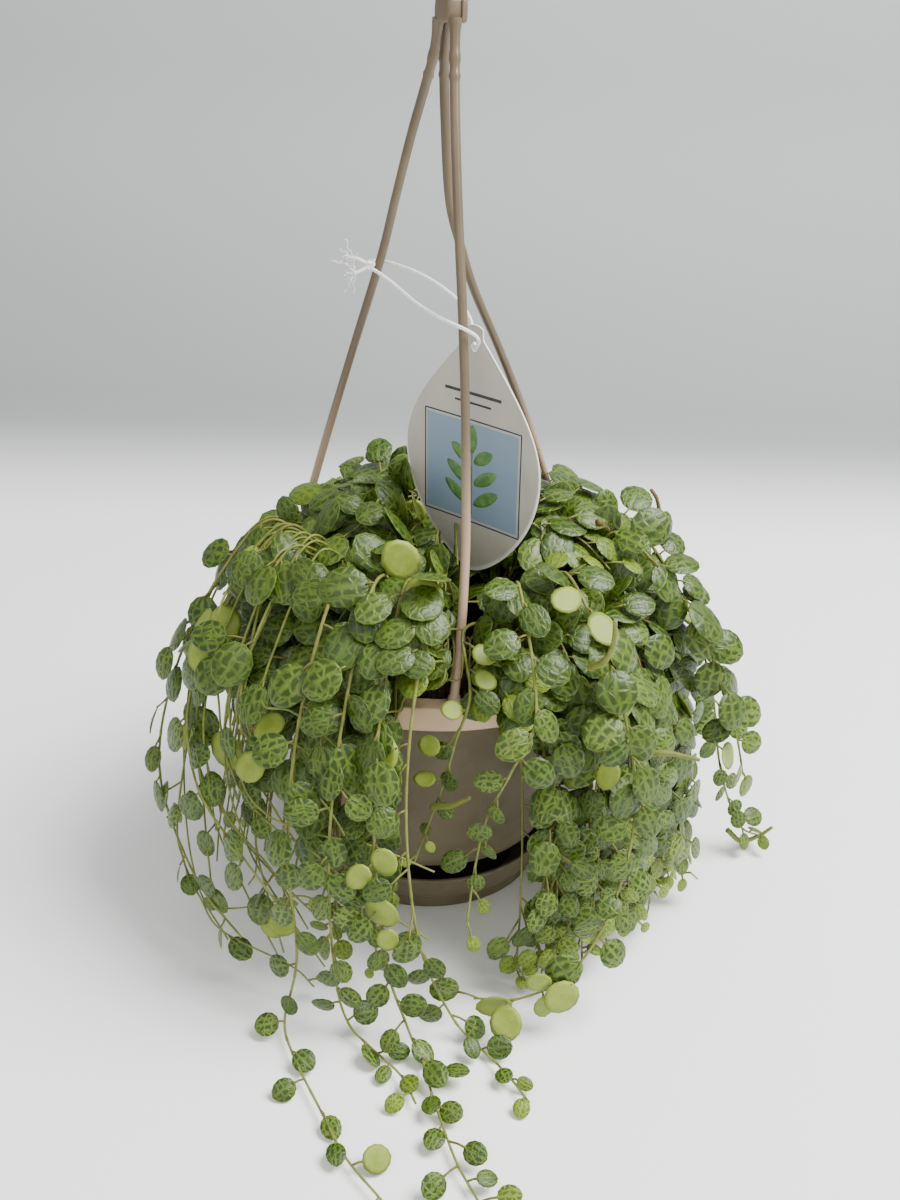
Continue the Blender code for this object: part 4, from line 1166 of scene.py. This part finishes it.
lanes = [MANTLE_FIRST + i * 360 / MANTLE_COUNT for i in range(MANTLE_COUNT)]
for index, (lane, end) in enumerate(zip(lanes, MANTLE_ENDS)):
    strand(f"vine_mantle_{index + 1:02d}", mantle_route(lane, end if end > 0.6 else 0.455, index))
for index, stem in enumerate(CROWN_STEMS):
    strand(f"vine_crown_{index + 1:02d}", crown_route(*stem), 0.024)

lane_step = 360 / MANTLE_COUNT
FILLERS = ((0.5, -0.0045), (0.25, -0.0060), (0.75, -0.0065), (0.1, -0.0100), (0.4, -0.0110),
           (0.65, -0.0105), (0.9, -0.0120))
for share, lift in FILLERS:
    for index, (lane, end) in enumerate(zip(lanes, MANTLE_ENDS)):
        following = MANTLE_ENDS[(index + 1) % MANTLE_COUNT]
        azimuth = lane + lane_step * share
        reach = random.uniform(0.78, 0.97) if not 14 < azimuth % 360 < 75 else random.uniform(0.90, 0.985)
        if math.cos(math.radians(azimuth - 4)) > math.cos(math.radians(12.5)):
            reach = 0.445
        route = mantle_route(azimuth, reach, index + 5 + 3 * share, lift, random.uniform(3, 9))
        strand(f"vine_mantle_{index + 1:02d}", route, 0.024)
for turn, lift in ((9, 0.0006), (20, -0.002), (31, -0.004), (14, -0.007), (26, -0.009)):
    for index, (azimuth, radius, reach) in enumerate(CROWN_STEMS):
        inner = radius * random.uniform(0.4, 1.3)
        route = crown_route(azimuth + turn, inner, max(reach, 0.08 + inner * 6 + 0.07), lift)
        strand(f"vine_crown_{index + 1:02d}", route, 0.018)
print(len(strands), "strands")

# %% [markdown]
# ## Leaves
#
# A leaf is a thick lens: a round blade that bulges upwards, with a blunt point at its tip. The
# shape is worked out once for a leaf of size 1, and copied to all places by multiplying arrays.
# To find those places, each stem offers a spot every few millimetres, on alternate sides. A leaf
# is tried there at several angles, and it stays where it keeps clear of all leaves before it.

# %% Shape of one leaf
SECTORS = 12


def leaf_template():
    """Rings of (length, width, height): upper side from its middle to the edge, then underneath.
    Height is 1 - r^2 above and a shallower -0.35 (1 - r^2) below."""
    angle = np.linspace(0, 2 * math.pi, SECTORS, endpoint=False)
    reach = 1 + 0.07 * np.maximum(np.cos(angle), 0) ** 8
    share = np.array([0.42, 0.78, 0.97, 1.0, 0.72])
    height = np.array([0.84, 0.44, 0.12, -0.06, -0.22])
    rings = np.stack([share[:, None] * np.cos(angle) * reach, share[:, None] * np.sin(angle),
                      np.broadcast_to(height[:, None], (5, SECTORS))], axis=-1)
    part = skin(rings[::-1])
    part["points"][-1] = (0, 0, 1.0)
    part["points"][-2] = (0, 0, -0.35)
    return part


leaf = leaf_template()
under_quads = np.arange(len(leaf["quads"])) < SECTORS
under_tris = np.arange(len(leaf["tris"])) < SECTORS
print("faces in a leaf:", len(leaf["quads"]) + len(leaf["tris"]))

# %% Finding room for the leaves
HALF_LENGTH = 0.0063
HALF_WIDTH = 0.0057
SIZE_AT = ([0.0, 0.05, 0.09, 0.12, 0.15], [0.60, 0.74, 0.94, 1.02, 1.05])  # leaves shrink towards the floor
CLEAR = 0.0014
CLEAR_HOLDER = 0.0024
TRIES = 10
TURNED_OVER = 0.018  # the chance that a leaf shows its underside
TURNED_OVER_BUNDLE = 0.12
POT_FRONT_Y = -0.055
FORWARD = np.array([0.0, -1.0, 0.15])  # leaves on the front half turn a little to the front
ring_angle = np.radians(np.arange(0, 360, 45))
ring = np.stack([np.cos(ring_angle), np.sin(ring_angle)], axis=1)
SPOTS = np.vstack([np.zeros((1, 2)), 0.52 * ring[::2], ring])


def holder_points():
    """Points on the arms, the tag and the string, which the leaves keep clear of."""
    found = [smooth_path(arm_path(side), 0.0015) for side in ARM_AZIMUTHS]
    found.append(smooth_path(np.array(STRING_ROUTE) * MM, 0.002))
    edge = tag_edge(24)
    for share in (0.25, 0.5, 0.75, 1.0):
        found.append(on_tag(edge[:, 0] * share, edge[:, 1] * share, 0.0))
    return np.vstack(found)


def seen_on(points, plane_y):
    """Where the line of sight from the camera through each point meets an upright plane."""
    share = (plane_y - EYE.y) / (points[:, 1] - EYE.y)
    return EYE.x + (points[:, 0] - EYE.x) * share, EYE.z + (points[:, 2] - EYE.z) * share


front_arm = smooth_path(arm_path("front"), 0.002)
front_arm_seen = np.stack(seen_on(front_arm, POT_FRONT_Y), axis=1)
tag_inverse = np.linalg.inv(tag_axes)
eye_on_tag = (tag_inverse @ np.array([*EYE, 1.0]))[:3]
tag_half = tag_edge(80)[:80]


def in_the_way(spots):
    """Whether a leaf would cut into the pot, the soil or the floor, and whether it would hide what
    stays in view: the bare front of the pot and rim, the front arm and the tag."""
    x, y, z = spots.T
    radius = np.hypot(x, y)
    body = np.where(z > RIM_Z - LIP_HEIGHT - 0.002, RIM_RADIUS, body_radius(z)) + 0.0018
    body = np.where(z < 0.021, 0.0535, body)
    inside_wall = (radius < body) & (z < RIM_Z + 0.0022) & ~((radius < 0.055) & (z > SOIL_TOP + 0.002))
    seen_x, seen_z = seen_on(spots, POT_FRONT_Y)
    rim = (seen_x > -0.0078) & (seen_x < 0.0090) & (seen_z < 0.0945)
    wall = (seen_x > -0.0078) & (seen_x < 0.0350) & (seen_z < 0.0790)
    pot_hidden = ((rim | wall) & (seen_z > 0.0) & (y < -0.040)).any()
    seen = np.stack([seen_x, seen_z], axis=1)
    from_arm = np.linalg.norm(front_arm_seen[None] - seen[:, None], axis=2).min()
    arm_hidden = (from_arm < 0.0022) and y.min() < -0.045
    local = spots @ tag_inverse[:3, :3].T + tag_inverse[:3, 3]
    share = eye_on_tag[2] / (eye_on_tag[2] - local[:, 2])
    met = eye_on_tag[:2] + (local[:, :2] - eye_on_tag[:2]) * share[:, None]
    half = np.interp(-met[:, 1], -tag_half[:, 1], -tag_half[:, 0], left=0, right=0)
    tag_hidden = ((np.abs(met[:, 0]) < half + 0.0010) & (local[:, 2] > -0.0025)).any()
    return (z < 0.0009).any() or inside_wall.any(), pot_hidden, arm_hidden or tag_hidden


holder = holder_points()
placed = []
placed_spots = np.zeros((9000, len(SPOTS), 3))
placed_middles = np.full((9000, 3), 9.0)


def try_leaf(item, here, run, side, ripe):
    """One leaf at one spot on a stem, or None. The blade leans sideways and a little along the
    stem, faces out and up, and hangs slightly; each try changes these by chance."""
    out = unit(np.array([here[0] - MOUND_CENTRE_X, here[1], max(here[2] - 0.04, 0.02) * 0.9]))
    upward = np.interp(here[2], [0.04, 0.13], [0.15, 0.50])
    if here[1] < 0.025:
        out = unit(out + FORWARD * (1.6 if "sprig" in item["vine"] else 0.45))
    if here[2] < 0.013:
        out = unit(np.array([0.0, -0.5, 0.85]))
    ripe = ripe * item["tip"]
    sideways = unit(np.cross(run, out))
    size = np.interp(here[2], *SIZE_AT) * (1.32 if "skirt" in item["vine"] and here[2] < 0.03 else 1.0)
    size = item["size"] * size * (1 - 0.42 * ripe) * random.normal(1.0, 0.12)
    length, width = HALF_LENGTH * size, HALF_WIDTH * size * random.uniform(0.88, 1.08)
    for attempt in range(TRIES):
        turn = side if attempt < 6 else -side
        slant = random.uniform(0.0, 1.5)
        lean = random.uniform(-0.35, 0.25)
        along = unit(turn * sideways * math.cos(slant) + run * math.sin(slant) + out * lean
                     - np.array([0, 0, 0.18]))
        facing = unit(out + np.array([0, 0, upward]) + random.normal(0, 0.33, 3))
        facing = unit(facing - along * (facing @ along))
        stalk = random.uniform(0.0012, 0.0044) * (1 + 0.20 * attempt)
        base = here + unit(along * 0.6 + out * random.uniform(0.1, 1.2)) * stalk
        middle = base + along * length
        across = np.cross(facing, along)
        spots = middle + SPOTS[:, :1] * along * length + SPOTS[:, 1:] * across * width
        blocked, hides_pot, hides_holder = in_the_way(spots)
        if blocked or hides_holder or (hides_pot and item["vine"] not in IN_FRONT):
            continue
        if (np.linalg.norm(holder[None] - spots[:, None], axis=2) < CLEAR_HOLDER).any():
            continue
        near = np.linalg.norm(placed_middles[:len(placed)] - middle, axis=1) < 0.0155
        if near.any():
            others = placed_spots[:len(placed)][near].reshape(-1, 3)
            if np.linalg.norm(others[None] - spots[:, None], axis=2).min() < CLEAR:
                continue
        flipped = random.uniform() < turned_chance(item, middle)
        placed_spots[len(placed)] = spots
        placed_middles[len(placed)] = middle
        marked = np.interp(middle[2], [0.05, 0.13], [0.95, 0.60]) * random.uniform(0.55, 1.05)
        return {"vine": item["vine"], "root": here, "base": base, "middle": middle, "along": along,
                "facing": -facing if flipped else facing, "length": length, "width": width,
                "young": ripe, "seed": random.uniform(), "marked": min(marked, 1.0)}
    return None


def turned_chance(item, place):
    """How likely a leaf shows its pale underside: nearly always where the skirt and the runners
    curl round the foot of the pot, seldom elsewhere."""
    if item["vine"] == "vine_skirt_front" and place[2] < 0.028:
        return 0.85
    if item["vine"] == "vine_runner_right" and 0.028 < place[2] < 0.075:
        return 0.65
    if item["vine"] == "vine_shoot_on_pot":
        return 0.45
    return TURNED_OVER_BUNDLE if "bundle" in item["vine"] else TURNED_OVER


def thinned(item, here):
    """Whether a spot stays bare: on the mantle stems, most of the lower left."""
    azimuth = math.degrees(math.atan2(here[0] - MOUND_CENTRE_X, -here[1]))
    if "mantle" in item["vine"] and -115 < azimuth < -24:
        return random.uniform() < np.interp(here[2], [0.01, 0.08, 0.108], [0.98, 0.93, 0.0])
    return False


IN_FRONT = ("vine_shoot_on_pot", "vine_strand_on_pot")
for item in strands:
    path = item["path"]
    way = lengths_along(path)
    run = unit(np.gradient(path, axis=0))
    stops = np.arange(item["first"], way[-1] - 0.001, item["spacing"])
    for number, stop in enumerate(stops):
        spot = int(np.searchsorted(way, stop + random.uniform(-0.001, 0.001)))
        spot = min(spot, len(path) - 1)
        if thinned(item, path[spot]):
            continue
        left = (way[-1] - way[spot]) / 0.020
        found = try_leaf(item, path[spot], run[spot], 1 if number % 2 else -1, max(0.0, 1 - left))
        if found:
            placed.append(found)
print(len(placed), "leaves placed")


# %% Building the vines
def gathered(chosen, key):
    return np.array([found[key] for found in chosen])


def leaf_part(chosen):
    """All blades of a vine: the template's length, width and height times each leaf's own axes.
    A bow along the blade lowers its ends, and a cup across it lowers its edges."""
    along, facing = gathered(chosen, "along"), gathered(chosen, "facing")
    across = np.cross(facing, along)
    length, width = gathered(chosen, "length"), gathered(chosen, "width")
    count = len(chosen)
    shape = np.broadcast_to(leaf["points"], (count, *leaf["points"].shape)).copy()
    bulge = width * 0.14
    bow = np.random.default_rng(count).uniform(-0.02, 0.16, (count, 1)) * width[:, None]
    cup = np.random.default_rng(count + 1).uniform(-0.03, 0.12, (count, 1)) * width[:, None]
    height = (shape[..., 2] * bulge[:, None] - bow * shape[..., 0] ** 2 - cup * shape[..., 1] ** 2)
    points = (gathered(chosen, "middle")[:, None] + shape[..., :1] * (along * length[:, None])[:, None]
              + shape[..., 1:2] * (across * width[:, None])[:, None]
              + height[..., None] * facing[:, None])
    starts = (np.arange(count) * len(leaf["points"]))[:, None, None]
    each = len(leaf["points"])
    marks = {"leaf_young": np.repeat(gathered(chosen, "young"), each),
             "leaf_seed": np.repeat(gathered(chosen, "seed"), each),
             "leaf_marked": np.repeat(gathered(chosen, "marked"), each)}
    uv = np.tile(leaf["points"][:, :2] * 0.5 + 0.5, (count, 1))
    points = points.reshape(-1, 3)
    parts = []
    for finish, pick_quads, pick_tris in ((0, ~under_quads, ~under_tris), (1, under_quads, under_tris)):
        quads = (leaf["quads"][pick_quads][None] + starts).reshape(-1, 4)
        tris = (leaf["tris"][pick_tris][None] + starts).reshape(-1, 3)
        parts.append((finish, quads, tris))
    return points, parts, marks, uv


def stalk_part(chosen):
    """A thin bent stalk from each leaf's root on the stem to its base: three rings of a curve
    root, bend, base, in the plane of the blade's own axes."""
    along, facing = gathered(chosen, "along"), gathered(chosen, "facing")
    across = np.cross(facing, along)
    root, base = gathered(chosen, "root"), gathered(chosen, "base")
    inside = base + along * 0.0008
    bend = (root + inside) / 2 + np.abs(facing) * 0.0003
    line = np.stack([root, bend, inside], axis=1)
    sides = 5
    angle = np.linspace(0, 2 * math.pi, sides, endpoint=False)
    radius = np.array([0.00042, 0.00036, 0.00042])[:, None]
    flat = (facing[:, None, None] * np.cos(angle)[:, None] + across[:, None, None] * np.sin(angle)[:, None])
    rings = line[:, :, None] + radius[..., None] * flat
    single = skin(np.zeros((3, sides, 3)))
    each = 3 * sides + 2
    ends = np.stack([root, inside], axis=1)
    points = np.concatenate([rings.reshape(len(chosen), -1, 3), ends], axis=1)
    starts = (np.arange(len(chosen)) * each)[:, None, None]
    fresh = np.repeat(0.55 + 0.45 * gathered(chosen, "young"), each)
    return {"points": points.reshape(-1, 3), "quads": (single["quads"][None] + starts).reshape(-1, 4),
            "tris": (single["tris"][None] + starts).reshape(-1, 3), "finish": 2,
            "marks": {"stem_fresh": fresh}}


def stem_part(item):
    """A stem that thins towards its tip, with a small swelling at each joint."""
    path = item["path"]
    way = lengths_along(path)
    share = way / way[-1]
    radius = item["radius"] * (1.05 - 0.45 * share)
    radius = radius * (1 + 0.22 * bump(np.mod(way, item["spacing"]) - item["spacing"] / 2, 0.0008))
    fresh = np.clip(item["fresh"] + 0.15 + 0.75 * share, 0, 1)
    return tube(path, radius, 7, 2, {"stem_fresh": fresh})


SPIKES = [
    ("vine_sprig_right_high", 0.15, [(54.4, -20.0, 145.0), (61.9, -10.0, 137.0), (69.6, 0.0, 129.1),
                                     (75.5, -2.0, 132.0), (77.6, -4.0, 140.5), (76.0, -5.0, 148.2),
                                     (73.5, -5.0, 152.0)]),
    ("vine_mantle_02", 0.85, [(48.2, -84.0, 122.8), (51.7, -90.0, 128.7), (53.3, -93.0, 135.7),
                              (53.0, -94.0, 143.5)]),
    ("vine_sprig_right_low", 0.95, [(118.0, 0.0, 10.0), (124.0, 0.0, 5.0), (131.0, 1.0, 7.0),
                                    (135.5, 0.0, 12.0)]),
    ("vine_shoot_on_pot", 0.90, [(2.3, -77.0, 67.0), (8.1, -80.0, 69.5), (14.3, -82.0, 74.1)]),
    ("vine_mantle_03", 0.85, [(67.0, -73.0, 86.7), (76.0, -76.0, 89.5), (85.9, -78.0, 88.7)]),
]


def spike_part(fresh, points):
    """A flower spike: a thin rod that tapers to its tip and is beaded with tiny buds."""
    path = smooth_path(np.array(points) * MM, 0.0005)
    way = lengths_along(path)
    beads = 1 + 0.16 * np.sin(way * 7500)[:, None] * np.cos(np.arange(8) * 2.4)
    radius = 0.00115 * (1 - 0.45 * way / way[-1])
    return tube(path, radius[:, None] * beads, 8, 2, {"stem_fresh": np.full(len(path), fresh)})


def build_vine(vine):
    parts = [stem_part(item) for item in strands if item["vine"] == vine]
    parts += [spike_part(fresh, points) for name, fresh, points in SPIKES if name == vine]
    chosen = [found for found in placed if found["vine"] == vine]
    if chosen:
        points, faces, marks, uv = leaf_part(chosen)
        (_, upper_quads, upper_tris), (_, under_quad, under_tri) = faces
        parts.append(stalk_part(chosen))
        parts.append({"points": points, "quads": upper_quads, "tris": upper_tris, "finish": 0,
                      "marks": marks, "uv": uv})
        shift = -len(points)
        parts.append({"points": np.zeros((0, 3)), "quads": under_quad + shift, "tris": under_tri + shift,
                      "finish": 1, "marks": {label: np.zeros(0) for label in marks},
                      "uv": np.zeros((0, 2))})
    return make_piece(vine + "_foliage", parts, LEAF_FINISHES, [vine], uv="leaf")


for vine in sorted({item["vine"] for item in strands}):
    made = build_vine(vine)
print("vines:", len({item["vine"] for item in strands}))

# %% [markdown]
# ## Floor and light
#
# A pale sheet that runs flat under the pot and curves up behind it has no corner, so it gives an even
# backdrop without a seam. Its colour turns from near white on the floor to grey behind: partly a grey
# backdrop's own tone, partly painted shade where the wall gets less light.
# One large soft light from the upper right makes broad gentle shadows to the left.


# %% Floor and backdrop
def build_sweep():
    """A floor that turns up behind: flat to the bend, then a quarter circle, then a wall."""
    turn = np.linspace(0, math.pi / 2, 24)
    bend_y, bend_radius = 0.62, 0.25
    line = np.vstack([[(-1.6, 0.0)], np.stack([bend_y + bend_radius * np.sin(turn),
                                               bend_radius * (1 - np.cos(turn))], axis=1),
                      [(bend_y + bend_radius, 2.2)]])
    x = np.linspace(-2.2, 2.2, 9)
    points = np.stack([np.broadcast_to(x, (len(line), 9)), np.broadcast_to(line[:, :1], (len(line), 9)),
                       np.broadcast_to(line[:, 1:], (len(line), 9))], axis=-1)
    here = np.arange(len(line) * 9).reshape(len(line), 9)
    quads = np.stack([here[:-1, :-1], here[:-1, 1:], here[1:, 1:], here[1:, :-1]], axis=-1)
    mesh = bpy.data.meshes.new("sweep")
    mesh.from_pydata(points.reshape(-1, 3).tolist(), [], quads.reshape(-1, 4).tolist())
    mesh.shade_smooth()
    made, tree, shader = new_finish("sweep_paper_and_painted_shade", Roughness=0.9, Specular_IOR_Level=0.1)
    place = add(tree, "SeparateXYZ", {0: add(tree, "TexCoord").outputs["Object"]}).outputs
    # Partly the backdrop's own grey, partly painted shade: from y 0.31 to 0.56 the floor is painted from
    # near white down to grey, as the wall gets less light, and higher up it turns a little paler again.
    backdrop_tone_and_painted_shade = mix(tree, between(tree, place[1], 0.31, 0.56), (0.92, 0.925, 0.92, 1), (0.35, 0.362, 0.358, 1))
    backdrop_tone_and_painted_shade = mix(tree, between(tree, place[2], 0.0, 0.20), backdrop_tone_and_painted_shade, (0.42, 0.435, 0.43, 1))
    tree.links.new(backdrop_tone_and_painted_shade, shader.inputs["Base Color"])
    mesh.materials.append(made)
    sweep = bpy.data.objects.new("sweep", mesh)
    bpy.context.scene.collection.objects.link(sweep)


build_sweep()
print("sweep made")


# %% Lights
def soft_light(name, place, aim, size, power):
    data = bpy.data.lights.new(name, "AREA")
    data.shape = "DISK"
    data.size = size
    data.energy = power
    made = bpy.data.objects.new(name, data)
    way = Vector(aim) - Vector(place)
    made.matrix_world = Matrix.Translation(place) @ way.to_track_quat("-Z", "Y").to_matrix().to_4x4()
    bpy.context.scene.collection.objects.link(made)


soft_light("key", (0.66, -0.14, 1.10), (0, 0, 0.05), 0.8, 38.0)
soft_light("fill", (-0.3, -1.0, 1.0), (0, 0, 0.08), 1.0, 5.0)
world = bpy.data.worlds.new("studio")
world.use_nodes = True
sky = world.node_tree.nodes["Background"].inputs
sky["Color"].default_value = (1.0, 1.0, 1.0, 1)
sky["Strength"].default_value = 0.80
bpy.context.scene.world = world
